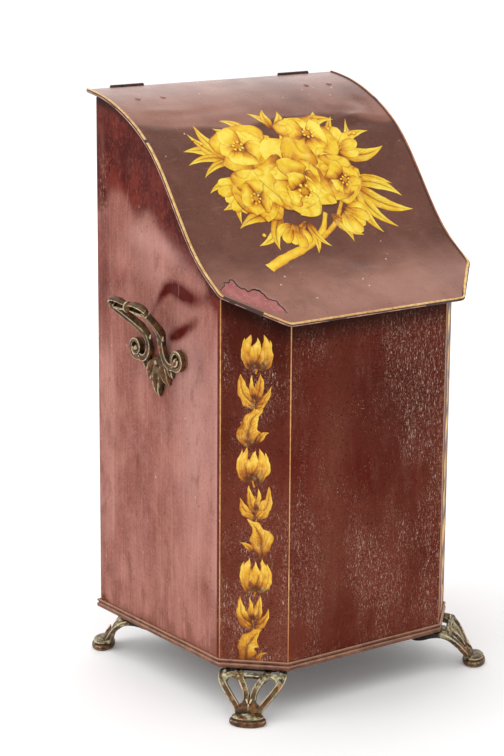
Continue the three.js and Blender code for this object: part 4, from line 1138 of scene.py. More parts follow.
def lid_sheet():
    inset = 2 * ROLL_R - 0.9
    s0 = lid_s(LID_FRONT_Y) + inset * 0.6
    s_cut = float(lid_s(LID_CUT_Y + 0.8))
    s1 = LID_LEN
    rows = np.unique(np.round(np.r_[np.linspace(s0, s_cut, 20), np.linspace(s_cut, s1, 118), s1 - 0.4], 3))
    cols = np.unique(np.r_[np.linspace(-1, 1, 120), -0.998, 0.998])
    y = np.interp(rows, LS, LC[:, 0])
    half = lid_half(y) - inset
    X = cols[None, :] * half[:, None]
    S = np.broadcast_to(rows[:, None], X.shape)
    top, bot = lid_point(X, S), lid_point(X, S, -SHEET)
    # the barrels stand in shallow cuts at the back edge
    for g in (top, bot):
        for h in (-HINGE_X, HINGE_X):
            cut = (np.abs(X - h) < HINGE_LEN / 2 + 1.2) & (g[:, :, 1] > HINGE_Y - BARREL_R - 0.8)
            g[:, :, 1] = np.where(cut, HINGE_Y - BARREL_R - 0.8, g[:, :, 1])
    v, f = slab(top, bot)
    e = np.minimum(half[:, None] - np.abs(X), S - s0)
    edge = 0.55 * np.exp(-(e / 3.0) ** 2) + 0.25 * np.exp(-((s1 - S) / 4.0))
    bloom = lid_painted_light(X, S)
    return mesh_object("lid_sheet_metal", v, f, M_LID, "lid", ["lid_sheet"], "lid_paint",
                       attrs={"edge": np.r_[edge.ravel(), 0.1 + 0 * edge.ravel()], "bloom": np.r_[bloom.ravel(), 0.2 + 0 * bloom.ravel()]})


lid_sheet()


def lid_outline(inset, off, s_back=None):
    """Points round the lid's sides and front, inset from its edge: (x, s)."""
    s_back = LID_LEN if s_back is None else s_back
    s_cut = float(lid_s(LID_CUT_Y)) + inset * 0.4
    xs, xf = LID_HALF - inset, LID_FRONT_HALF - inset * 0.42
    left = [(-xs, s) for s in np.arange(s_back, s_cut, -2.5)]
    pts = left + [(-xs, s_cut)]
    s_f = inset
    k = 14
    pts += [(-xs + (xs - xf) * i / k, s_cut + (s_f - s_cut) * i / k) for i in range(1, k)]
    pts += [(x, s_f) for x in np.linspace(-xf, xf, 60)]
    pts += [(xf + (xs - xf) * i / k, s_f + (s_cut - s_f) * i / k) for i in range(1, k)]
    pts += [(xs, s_cut)] + [(xs, s) for s in np.arange(s_cut + 2.5, s_back + 2.4, 2.5)]
    p = np.array(pts, float)
    p[-1, 1] = min(p[-1, 1], s_back)
    return p


def lid_bead():
    o = lid_outline(ROLL_R, 0)
    path = lid_point(o[:, 0], o[:, 1], -0.7)
    # round the corners a little
    path = resample(path, 2.0)
    for _ in range(2):
        path[1:-1] = 0.25 * path[:-2] + 0.5 * path[1:-1] + 0.25 * path[2:]
    v, f = tube(path, ROLL_R, 14)
    return Pile().add((v, f), edge=0.30).object("lid_rolled_bead", M_ROLL, "lid", replaces=["lid_rolled_edge"], slot="lid_paint")


lid_bead()

# ---------------------------------------------------------------- painted decoration
SUN = [srgb(250, 226, 92), srgb(240, 200, 50), srgb(222, 156, 34), srgb(178, 102, 24), srgb(104, 52, 18)]
ANTIQUE = [srgb(248, 212, 96), srgb(232, 176, 52), srgb(204, 134, 36), srgb(150, 84, 26), srgb(84, 40, 18)]


def shade_of(q, palette):
    """Colour for a darkness from 0 to 1."""
    q = np.clip(q, 0, 0.999) * (len(palette) - 1)
    i = np.floor(q).astype(int)
    t = (q - i)[..., None]
    p = np.array(palette)
    return p[i] * (1 - t) + p[np.minimum(i + 1, len(p) - 1)] * t


class Art:
    """A flat painting of petals and leaves, laid on a curved sheet as a thin film."""

    def __init__(self, place, palette, fade=None):
        self.place, self.palette, self.fade = place, palette, fade
        self.pile, self.layer, self.rng = Pile(), 0, np.random.default_rng(77)

    def film(self, x, y, q, across=0.0, along=1.0, rib=0.0):
        h = 0.05 + 0.004 * self.layer
        self.layer += 1
        top, bot = self.place(x, y, h), self.place(x, y, -0.12)
        if self.fade is not None:
            q = q + self.fade(x, y)
        c = shade_of(q, self.palette)
        c = np.c_[c.reshape(-1, 3), np.ones(c.size // 3)]
        v, f = slab(top, bot)
        self.pile.v.append(v)
        self.pile.f += [tuple(int(i) + self.pile.n for i in g) for g in f]
        self.pile.a.setdefault("shade", []).append(np.r_[c, c])
        for key, val in (("across", across), ("along", along), ("rib", rib)):
            g = (val + 0 * x).ravel()
            self.pile.a.setdefault(key, []).append(np.r_[g, g])
        self.pile.n += len(v)

    def petal(self, base, tip, width, bend=0.0, kind="leaf", dark=0.0, notch=0.0, ruffle=0.0, vein=1.0, light_side=1, rows=26, cols=13, fold=0.0):
        base, tip = np.asarray(base, float), np.asarray(tip, float)
        L = np.linalg.norm(tip - base)
        d = (tip - base) / L
        nrm = np.array([-d[1], d[0]])
        v = np.linspace(0, 1, rows)[:, None]
        u = np.linspace(-1, 1, cols)[None, :]
        ph = self.rng.uniform(0, 6.28, 4)
        if kind == "leaf":
            w = np.sin(np.pi * v ** 0.82) ** 0.95 * (1 - 0.35 * v)
        elif kind == "round":
            w = np.clip(v, 0, 1) ** 0.62 * np.sqrt(np.clip(1 - v ** 3.6, 0, 1)) * 1.12
        elif kind == "flame":
            w = (np.sin(np.pi * np.clip(v, 0, 1) ** 0.62) ** 0.75) * (1 - 0.25 * v)
        else:
            w = np.ones_like(v)
        w = w * (1 + ruffle * (0.5 * np.sin(9 * v + ph[0]) + 0.35 * np.sin(17 * v + ph[1]) * np.sign(u) + 0.25 * np.sin(26 * v + ph[2])))
        w = np.maximum(w, 0.012)
        reach = 1 - notch * np.exp(-(u / 0.30) ** 2) + ruffle * 0.35 * np.sin(5.5 * u + ph[3]) * (kind == "round")
        vv = v * reach
        k = 4 * bend * L * vv * (1 - vv)
        cx = base[0] + d[0] * L * vv + nrm[0] * k
        cy = base[1] + d[1] * L * vv + nrm[1] * k
        slope = 4 * bend * (1 - 2 * vv)
        nx, ny = nrm[0] - d[0] * slope, nrm[1] - d[1] * slope
        l = np.hypot(nx, ny)
        x = cx + nx / l * u * w * width / 2
        y = cy + ny / l * u * w * width / 2
        au = np.abs(u)
        q = 0.20 + dark + 0 * u * v
        q = q + (0.60 * np.exp(-(v / 0.20) ** 2) + 0.36 * np.exp(-(v / 0.50) ** 2)) * (1 if kind != "leaf" else 0.8)
        q = q + 0.20 * light_side * u * smooth(0.1, 0.5, v)
        q = q + 0.16 * smooth(0.82, 1.0, au) * (0.4 + 0.6 * v) + 0.10 * noise2(x, y, 11.0, 60)
        if kind == "leaf":
            q = q + vein * 0.16 * np.exp(-(u / 0.22) ** 2) * (1 - smooth(0.75, 0.98, v))
            q = q - 0.16 * np.exp(-((u - 0.45 * light_side) / 0.25) ** 2) * np.sin(np.pi * v)
        else:
            q = q + vein * 0.15 * np.clip(np.sin(7.5 * u * (1 + 0.3 * v) + ph[1]), 0, 1) ** 2 * (1 - smooth(0.35, 0.85, v))
            q = q - 0.20 * np.exp(-((v - 0.72) / 0.20) ** 2) * np.exp(-((u - 0.25 * light_side) / 0.55) ** 2)
            if fold:
                q = q + 0.34 * np.exp(-((v - 0.86 + 0.10 * np.cos(3 * u)) / 0.035) ** 2) * fold
        q = q + 0.07 * noise2(x, y, 5.0, 61) + 0.05 * noise2(x, y, 2.2, 62)
        self.film(x, y, q, u + 0 * v, v + 0 * u, 1.0 if kind == "leaf" else 0.0)

    def ribbon(self, points, widths, dark=0.0, cut=False):
        c = catmull(points, 9)
        n = len(c)
        w = np.interp(np.linspace(0, 1, n), np.linspace(0, 1, len(widths)), widths)[:, None]
        t = np.gradient(c, axis=0)
        t /= np.linalg.norm(t, axis=1)[:, None]
        u = np.linspace(-1, 1, 7)[None, :]
        s = np.linspace(0, 1, n)[:, None]
        wob = 1 + 0.07 * np.sin(s * 31 + 1) + 0.05 * np.sin(s * 57)
        x = c[:, 0:1] - t[:, 1:2] * u * w * wob / 2
        y = c[:, 1:2] + t[:, 0:1] * u * w * wob / 2
        q = 0.26 + dark + 0.30 * smooth(0.2, 1, u) + 0.18 * smooth(-0.5, -1, u) + 0.10 * np.sin(s * 40 + 2 * u) * 0.5 + 0.08 * noise2(x, y, 4, 63)
        if cut:
            q = q - 0.1 * smooth(0.9, 1, s)
        self.film(x, y, q)

    def dot(self, c, r, dark=0.0):
        a = np.linspace(0, 2 * np.pi, 13)[None, :]
        rr = np.linspace(0.02, 1, 5)[:, None]
        x, y = c[0] + r * rr * np.cos(a), c[1] + r * rr * np.sin(a)
        q = 0.05 + dark + 0.45 * smooth(0.3, 1, rr) + 0.15 * np.cos(a + 0.8) * rr
        self.film(x, y, q)

    def blossom(self, c, R, petals=7, turn=0.0, dark=0.0, rings=(1.0, 0.72, 0.46), squash=1.0, tilt=0.0):
        """A full flower seen a little from the side, ring upon ring of petals, some pointed, some broad."""
        c = np.asarray(c, float)
        rng = self.rng
        lean = R * 0.16 * np.array([math.cos(tilt), math.sin(tilt)])
        for ring, r1 in enumerate(rings):
            n = petals - ring
            cc = c + lean * ring
            order = sorted(range(n), key=lambda i: (i % 2, i))
            for i in order:
                a = turn + 0.45 * ring + 2 * math.pi * i / n + rng.uniform(-0.14, 0.14)
                rad = R * r1 * rng.uniform(0.86, 1.10)
                e = np.array([math.cos(a), math.sin(a) * squash])
                w = 2 * R * r1 * math.sin(math.pi / n) * rng.uniform(1.25, 1.6)
                pointed = (i + ring) % 3 == 0
                self.petal(cc + e * R * 0.04, cc + e * rad * (1.06 if pointed else 1.0), w * (0.9 if pointed else 1.0), bend=rng.uniform(-0.10, 0.10),
                           kind="flame" if pointed else "round", dark=dark + (0.10, 0.0, -0.05)[min(ring, 2)] + rng.uniform(-0.12, 0.12), notch=0.0 if pointed else rng.uniform(0.02, 0.14),
                           ruffle=0.07, light_side=1 if rng.random() > 0.4 else -1, fold=0.8 if rng.random() > 0.5 else 0.0, rows=30, cols=17)
        m = c + lean * (len(rings) - 0.4)
        self.dot(m, R * 0.13, dark=0.40)
        for i in range(7):
            a = turn + 2 * math.pi * i / 7
            k = m + R * rng.uniform(0.12, 0.20) * np.array([math.cos(a), math.sin(a) * squash])
            self.ribbon([m, 0.5 * (m + k) + rng.uniform(-0.5, 0.5, 2), k], [0.9, 0.8], dark=0.25)
            self.dot(k, R * 0.042, dark=-0.05)

    def side_blossom(self, base, angle, R, n=4, dark=0.0, spread=1.9):
        """A flower seen from the side, its petals fanned from a cup."""
        base = np.asarray(base, float)
        for i in (list(range(0, n, 2)) + list(range(1, n, 2))):
            a = angle + spread * ((i + 0.5) / n - 0.5)
            r = R * (1.0 if i % 2 else 0.9)
            self.petal(base, base + r * np.array([math.cos(a), math.sin(a)]), R * 0.62, bend=0.08 * (i - (n - 1) / 2), kind="round", dark=dark + 0.04 * (i % 2), ruffle=0.05, notch=0.06)
        for k in (-0.5, 0.5, 0):
            a = angle + k
            self.petal(base - 0.12 * R * np.array([math.cos(angle), math.sin(angle)]), base + 0.34 * R * np.array([math.cos(a), math.sin(a)]), R * 0.20, kind="leaf", dark=0.30)

    def sprig(self, base, ends, width=0.36, dark=0.0, bend=0.12, vary=0.25):
        """Pointed leaves from one joint to each end."""
        base = np.asarray(base, float)
        for i, e in enumerate(ends):
            e = np.asarray(e, float)
            L = np.linalg.norm(e - base)
            s = 1 if i % 2 else -1
            self.petal(base, e, L * width * (1 + vary * self.rng.uniform(-1, 1)), bend=bend * s, kind="leaf", dark=dark + self.rng.uniform(-0.06, 0.08), ruffle=0.08, light_side=s)

    def object(self, name, body, slot):
        p = self.pile
        return mesh_object(name, np.concatenate(p.v), p.f, M_FLOWER, body, slot=slot, attrs={k: np.concatenate(a) for k, a in p.a.items()}, angle=40)


def lid_spray():
    a = Art(lambda x, y, h: lid_point(x, y, h), SUN)
    # cut stems, crossing low on the left
    a.ribbon([(16, 128), (4, 110), (-22, 95), (-50, 86), (-75, 76)], [4.0, 6.0, 8.0, 9.5, 10.0], cut=True)
    a.ribbon([(40, 138), (22, 116), (-4, 100)], [3.5, 5.0, 5.0], dark=0.14)
    # leaf fans at the sides and below
    a.sprig((-62, 190), [(-111, 205), (-96, 226), (-112, 190), (-84, 236), (-100, 176)], 0.26)
    a.sprig((-60, 168), [(-101, 160), (-94, 142), (-80, 126)], 0.32)
    a.sprig((58, 190), [(88, 227), (106, 210), (114, 191), (74, 232)], 0.27)
    a.sprig((60, 156), [(118, 121), (106, 150), (92, 104), (112, 136), (72, 100)], 0.25)
    a.sprig((-34, 130), [(-84, 122), (-72, 102), (-52, 95)], 0.30)
    a.sprig((-8, 122), [(-30, 90), (-13, 86), (6, 92)], 0.28, dark=0.03)
    a.sprig((22, 126), [(48, 100), (33, 94), (58, 116)], 0.30)
    a.sprig((0, 222), [(-16, 247), (4, 251), (18, 246)], 0.34)
    a.sprig((36, 222), [(58, 241), (74, 228)], 0.36)
    a.sprig((-30, 222), [(-52, 240), (-66, 230)], 0.34)
    # half open flowers
    a.side_blossom((58, 194), 0.62, 28, 5)
    a.side_blossom((-66, 160), 3.6, 26, 5, dark=0.03)
    a.side_blossom((40, 128), -0.85, 26, 5, dark=0.02)
    a.side_blossom((-24, 118), -2.0, 24, 5, dark=0.05)
    # the full flowers
    a.blossom((-43, 200), 36, 6, 0.3, tilt=2.4, squash=0.94, rings=(1.0, 0.66))
    a.blossom((30, 206), 35, 6, 0.9, dark=0.02, tilt=1.0, squash=0.92, rings=(1.0, 0.66))
    a.blossom((47, 162), 28, 5, 0.2, dark=0.06, rings=(1.0, 0.62), tilt=-0.4)
    a.blossom((-48, 153), 28, 5, 0.7, dark=0.04, rings=(1.0, 0.62), tilt=3.6)
    a.blossom((-4, 168), 43, 7, 0.1, tilt=-1.2, rings=(1.0, 0.68, 0.40), squash=0.96)
    for c, r in [((-88, 212), 2.0), ((-94, 218), 1.6), ((88, 208), 2.0), ((-62, 112), 2.0)]:
        a.dot(c, r, dark=0.05)
    return a.object("lid_flower_spray", "lid", "lid_paint")


lid_spray()


def garland(name, centre, sign):
    """A column of bell flowers, sprigs and single leaves on a corner face."""
    rub = lambda x, y: 0.14 * smooth(60, 0, y) + 0.20 * np.abs(noise2(x, y, 7, 64)) + 0.18 * np.abs(noise2(x, y, 2.6, 65)) - 0.08
    a = Art(lambda t, z, h: body_point(centre + sign * 0.81 * (t + 1.3 * noise2(t, z, 8, 66) + 0.5 * noise2(t, z, 3, 67)), z + 0.9 * noise2(t, z, 7, 68), h), ANTIQUE, fade=rub)
    z = 308.0
    side = 1
    for i in range(9):
        kind = i % 3
        if kind == 0:  # bell flower, mouth upwards
            b = np.array([1.5 * side, z - 30])
            a.ribbon([(1 * side, z - 37), (2 * side, z - 29)], [1.8, 2.6], dark=0.2)
            a.sprig(b + (0, -2.0), [(b[0] - 10, z - 25), (b[0] + 10, z - 27)], 0.45, dark=0.16)
            for dx, top, w in [(-13.0, -4.0, 15.5), (13.4, -5.0, 15.0), (-6.6, -0.5, 15), (6.8, -1.0, 15)]:
                a.petal(b, (b[0] + dx, z + top), w, bend=-0.22 * np.sign(dx), kind="flame", dark=0.02, ruffle=0.08, light_side=int(np.sign(dx)), rows=30, cols=15)
            a.petal(b, (b[0] + 0.3, z - 3.5), 17.5, kind="flame", dark=-0.06, vein=1.2, ruffle=0.07, rows=30, cols=15)
            a.petal(b, (b[0] - 5.5, z - 11.0), 7.5, bend=0.1, kind="flame", dark=0.12)
            a.petal(b, (b[0] + 6.0, z - 12.0), 7.5, bend=-0.1, kind="flame", dark=0.14)
            z -= 35.5
        elif kind == 1:  # leaves and a bud up a short stalk
            b = np.array([-1.0 * side, z - 31])
            a.ribbon([(-1 * side, z - 36), (-2 * side, z - 24), (1 * side, z - 10)], [2.0, 2.2, 1.4], dark=0.16)
            a.petal(b, (-16.0 * side, z - 1), 16.5, bend=0.16 * side, kind="leaf", ruffle=0.2, dark=0.0, rows=30, cols=15)
            a.petal(b, (17.0 * side, z - 12), 11.0, bend=-0.15 * side, kind="leaf", ruffle=0.12, dark=0.03, rows=30, cols=15)
            a.petal(b + (0, 6), (6.5 * side, z - 0.5), 11.0, bend=-0.1 * side, kind="leaf", dark=-0.02, ruffle=0.08)
            a.petal(b + (0, 7), (-3.5 * side, z - 2.5), 7.0, bend=0.08 * side, kind="flame", dark=0.05, ruffle=0.05)
            a.petal(b + (0, -1), (-12.5 * side, z - 23), 6.5, bend=0.1, kind="leaf", dark=0.10)
            a.petal(b + (0, -1), (10.5 * side, z - 27), 5.5, bend=-0.1, kind="leaf", dark=0.12)
            z -= 34.5
        else:  # one broad toothed leaf, leaning, with a small one behind
            a.petal((-4.5 * side, z - 31), (-17.5 * side, z - 10), 12.5, bend=-0.1 * side, kind="leaf", dark=0.08, ruffle=0.1)
            a.petal((-6.5 * side, z - 35), (8.5 * side, z + 2.0), 26.0, bend=0.20 * side, kind="leaf", ruffle=0.30, vein=1.6, dark=-0.04, rows=54, cols=19)
            a.petal((1.5 * side, z - 30), (15.5 * side, z - 20), 7.5, bend=0.12 * side, kind="leaf", dark=0.06, ruffle=0.1)
            z -= 33.5
            side = -side
    return a.object(name, "case", "painted_sheet")


garland("left_corner_garland", (Q_SIDE_L + Q_FRONT_L) / 2, 1)
garland("right_corner_garland", (Q_FRONT_R + Q_SIDE_R) / 2, -1)


# ---------------------------------------------------------------- gilt lines
def fold_line(name, q, width):
    z = np.linspace(2.4, float(body_top(np.array([q]))[0]) - 0.5, 150)
    w = width * (1 + 0.16 * noise2(z, z * 0, 14, 71) + 0.12 * noise2(z, z * 0, 5, 72))
    u = np.linspace(-0.5, 0.5, 7)
    Q = q + u[None, :] * w[:, None]
    Z = np.broadcast_to(z[:, None], Q.shape)
    v, f = slab(body_point(Q, Z, 0.05), body_point(Q, Z, -0.1))
    tone = np.clip(0.62 + 0.35 * noise2(z, z * 0, 40, 73) + 0.3 * smooth(120, 0, z), 0, 1)[:, None] + 0 * Q
    return mesh_object(name, v, f, M_GILT, "case", slot="painted_sheet", attrs={"tone": np.r_[tone.ravel(), tone.ravel()]}, angle=60)


fold_line("gilt_line_left_side", Q_SIDE_L + 0.2, 1.05)
fold_line("gilt_line_left_front", Q_FRONT_L - 0.1, 1.0)
fold_line("gilt_line_right_front", Q_FRONT_R + 0.1, 1.0)
fold_line("gilt_line_right_side", Q_SIDE_R - 0.2, 1.05)


def lid_gilt():
    """Gold band over the top of the lid's rolled edge, broken where the paint has gone."""
    o = lid_outline(ROLL_R, 0)
    path = lid_point(o[:, 0], o[:, 1], -0.7)
    path = resample(path, 2.0)
    for _ in range(2):
        path[1:-1] = 0.25 * path[:-2] + 0.5 * path[1:-1] + 0.25 * path[2:]
    # cross directions: up is the lid's own normal, out is away from the lid
    n = len(path)
    t = np.gradient(path, axis=0)
    t /= np.linalg.norm(t, axis=1)[:, None]
    s = np.interp(path[:, 1], LC[:, 0], LS)
    up = np.stack([0 * s, np.interp(s, LS, LNY), np.interp(s, LS, LNZ)], -1)
    up = up - t * np.sum(up * t, axis=1)[:, None]
    up /= np.linalg.norm(up, axis=1)[:, None]
    out = np.cross(up, t)
    sign = np.sign(np.sum(out * (path - np.array([0, 0, 0]) * 1.0), axis=1))
    mid = np.array([0.0, 20.0, 0.0])
    flip = np.sum(out * (path - mid) * np.array([1, 1, 0]), axis=1) < 0
    out[flip] *= -1
    right = smooth(20, 90, path[:, 0])
    cutw = smooth(40, 70, path[:, 0]) * smooth(-84, -96, path[:, 1]) * smooth(100, 118, path[:, 0])
    inner = 150 - 40 * right + 44 * cutw
    outer = 44 + 6 * right + 24 * cutw
    k = 11
    w = np.linspace(0, 1, k)[None, :]
    dist = np.r_[0, np.cumsum(np.linalg.norm(np.diff(path, axis=0), axis=1))]
    jit = 6 * noise2(dist, dist * 0, 9, 74) + 5 * noise2(dist, dist * 0, 3.5, 75)
    ang = np.radians((inner + jit)[:, None] * (1 - w) + (outer + 0.6 * jit)[:, None] * w)
    def ring(r, a=None):
        g = ang if a is None else a
        return path[:, None, :] + out[:, None, :] * (r * np.cos(g))[..., None] + up[:, None, :] * (r * np.sin(g))[..., None]
    top, bot = ring(ROLL_R + 0.045), ring(ROLL_R - 0.1)
    # gaps: the torn corner and a few knocks
    gone = np.zeros(n, bool)
    x, y = path[:, 0], path[:, 1]
    gone |= (x < -117) & (y < -93.5)
    gone |= (x > 140) & (np.abs(y - 52) < 1.6) | (x < -140) & (np.abs(y - 26) < 0.9)
    p = Pile()
    i = 0
    tone = np.clip(0.08 + 0.85 * right * smooth(-80, -40, y) + 0.25 * noise2(dist, dist * 0, 30, 76), 0, 1)
    while i < n:
        if gone[i]:
            i += 1
            continue
        j = i
        while j + 1 < n and not gone[j + 1]:
            j += 1
        if j - i >= 2:
            v, f = slab(top[i:j + 1], bot[i:j + 1])
            tt = np.repeat(tone[i:j + 1], k)
            p.add((v, f), tone=np.r_[tt, tt])
        i = j + 1
    p.object("lid_gilt_edge", M_GILT, "lid", slot="lid_paint", angle=60)
    # a pale line along the roll's lower side: a painted highlight, coloured as the seam worn to bare metal
    p = Pile()
    wide = 24 + 8 * noise2(dist, dist * 0, 17, 77) + 6 * noise2(dist, dist * 0, 4, 78)
    a0 = -2 + 3 * noise2(dist, dist * 0, 20, 79)
    keep = (wide > 15) & (right < 0.5)
    w5 = np.linspace(-0.5, 0.5, 5)[None, :]
    low = np.radians(a0[:, None] + np.maximum(wide, 1.0)[:, None] * w5)
    top, bot = ring(ROLL_R + 0.06, low), ring(ROLL_R - 0.1, low)
    i = 0
    while i < n:
        if not keep[i]:
            i += 1
            continue
        j = i
        while j + 1 < n and keep[j + 1]:
            j += 1
        if j - i >= 2:
            p.add(slab(top[i:j + 1], bot[i:j + 1]))
        i = j + 1
    p.object("lid_roll_highlight_and_wear", M_ROLL_HIGHLIGHT, "lid", slot="lid_paint", angle=60)


lid_gilt()


# ---------------------------------------------------------------- torn paint on the lid
TEAR_TOP = [(-139.5, 57), (-134, 62), (-131, 66.5), (-126.5, 66), (-123.5, 70), (-120.5, 68), (-119.5, 60), (-116.5, 55.5), (-114, 51.5),
            (-109, 53.5), (-105.5, 53.0), (-102, 50), (-100.5, 45.5), (-99.5, 38.5), (-96.5, 35.2), (-93.6, 33.5), (-94.2, 26), (-93.0, 17.5)]
TEAR_LOW = [(-139.5, 54), (-136.5, 51.5), (-133.5, 49), (-131, 46), (-127.5, 42), (-124, 37), (-120, 33.5), (-116, 29.5), (-111, 25.5), (-106, 22), (-100, 19), (-94, 16.5)]


def ragged(points, seed, amp, step=0.8):
    p = resample(points, step)
    t = np.gradient(p, axis=0)
    t /= np.linalg.norm(t, axis=1)[:, None]
    d = np.arange(len(p)) * step
    a = amp * (noise2(d, d * 0, 3.2, seed) + 0.6 * noise2(d, d * 0, 1.4, seed + 1))
    a[0] = a[-1] = 0
    return p + np.stack([-t[:, 1], t[:, 0]], 1) * a[:, None]


def tear():
    up, low = ragged(TEAR_TOP, 81, 0.9), ragged(TEAR_LOW, 83, 0.8)
    n = 90
    a = np.linspace(0, 1, n)
    U = np.stack([np.interp(a, np.linspace(0, 1, len(up)), up[:, k]) for k in (0, 1)], 1)
    Lw = np.stack([np.interp(a, np.linspace(0, 1, len(low)), low[:, k]) for k in (0, 1)], 1)
    w = np.linspace(0, 1, 10)[None, :, None]
    g = Lw[:, None, :] * (1 - w) + U[:, None, :] * w
    v, f = slab(lid_point(g[..., 0], g[..., 1], 0.04), lid_point(g[..., 0], g[..., 1], -0.12))
    mesh_object("lid_bare_undercoat", v, f, M_PATCH, "lid", slot="lid_paint", angle=60)
    # the dark broken edge of the old paint, which is also a painted shadow under the lifted skin, and the skin curling
    # up behind it
    t = np.gradient(U, axis=0)
    t /= np.linalg.norm(t, axis=1)[:, None]
    nn = np.stack([-t[:, 1], t[:, 0]], 1)
    cen = Lw
    flip = np.sum(nn * (U - cen), axis=1) < 0
    nn[flip] *= -1
    d = np.arange(n)
    wide = 0.9 + 0.9 * smooth(0.05, 0.3, a) * (1 + 0.5 * noise2(d * 1.0, d * 0.0, 7, 85)) * smooth(1.0, 0.9, a)
    k = np.linspace(-0.55, 0.6, 5)[None, :, None]
    g = U[:, None, :] + nn[:, None, :] * k * wide[:, None, None]
    v, f = slab(lid_point(g[..., 0], g[..., 1], 0.07), lid_point(g[..., 0], g[..., 1], -0.1))
    mesh_object("lid_torn_edge", v, f, M_TORN_EDGE_SHADOW, "lid", slot="lid_paint", angle=60)
    lift = (0.35 + 0.75 * np.abs(noise2(d * 1.0, d * 0.0, 9, 86))) * np.sin(np.pi * np.clip(a, 0.02, 0.98)) ** 0.6
    kk = np.linspace(0, 1, 7)[None, :]
    reach = 5.5
    g = U[:, None, :] + nn[:, None, :] * (0.25 + kk[..., None] * reach)
    h = 0.06 + lift[:, None] * (1 - kk) ** 2.2
    top = lid_point(g[..., 0], g[..., 1], h)
    bot = lid_point(g[..., 0], g[..., 1], np.minimum(h - 0.12, 0.0) * 0 + np.where(kk < 0.85, h - 0.12, -0.1))
    v, f = slab(top, bot)
    edge = np.broadcast_to(0.25 * np.exp(-(kk / 0.12) ** 2), (n, 7)).ravel()
    bl = np.broadcast_to(lid_painted_light(g[..., 0], g[..., 1]), (n, 7)).ravel()
    mesh_object("lid_lifted_paint", v, f, M_LID, "lid", slot="lid_paint", angle=60, attrs={"edge": np.r_[edge, edge], "bloom": np.r_[bl, bl]})


tear()


# ---------------------------------------------------------------- hinges and rivets
def dome(centre, axis, r, h, sides=20, ref=(1, 0, 0), under=0.4):
    prof = [(r * 0.2, -under), (r, -under), (r, 0.0)] + [(r * math.cos(a), h * math.sin(a)) for a in np.linspace(0.12, math.pi / 2 - 0.04, 7)]
    return lathe(prof, centre, axis, sides, ref=ref)


def knuckle(x0, x1, r_out=max(0.8 * BARREL_R, 2.35), r_in=1.4, sides=24):
    """A short length of rolled hinge barrel, bored for the pin."""
    c = 0.25
    prof = [(r_in, x0), (r_out - c, x0), (r_out, x0 + c), (r_out, x1 - c), (r_out - c, x1), (r_in, x1)]
    a = 2 * np.pi * np.arange(sides) / sides
    v = np.array([(h, HINGE_Y + r * math.cos(t), HINGE_Z + r * math.sin(t)) for r, h in prof for t in a])
    n, m = len(prof), sides
    f = [tuple(q) for q in grid_faces(n, m, 0, wrap=True)]
    f += [((n - 1) * m + j, (n - 1) * m + (j + 1) % m, (j + 1) % m, j) for j in range(m)]
    return v, f


def strip_yz(line, thick, x0, x1, nx=8, corner=0.0):
    """A bent plate: line of (y, z) with its thickness square to it, run across x."""
    p = np.asarray(line, float)
    t = np.gradient(p, axis=0)
    t /= np.linalg.norm(t, axis=1)[:, None]
    n = np.stack([-t[:, 1], t[:, 0]], 1)
    u = np.linspace(0, 1, nx)
    d = np.r_[0, np.cumsum(np.linalg.norm(np.diff(p, axis=0), axis=1))]
    cut = np.where(d < corner, corner - np.sqrt(np.clip(corner ** 2 - (corner - d) ** 2, 0, None)), 0.0) if corner else 0 * d
    X = (x0 + cut)[:, None] * (1 - u) + (x1 - cut)[:, None] * u
    def g(off):
        q = p + n * off
        return np.stack([X, np.broadcast_to(q[:, 0:1], X.shape), np.broadcast_to(q[:, 1:2], X.shape)], -1)
    return slab(g(0.0), g(thick))


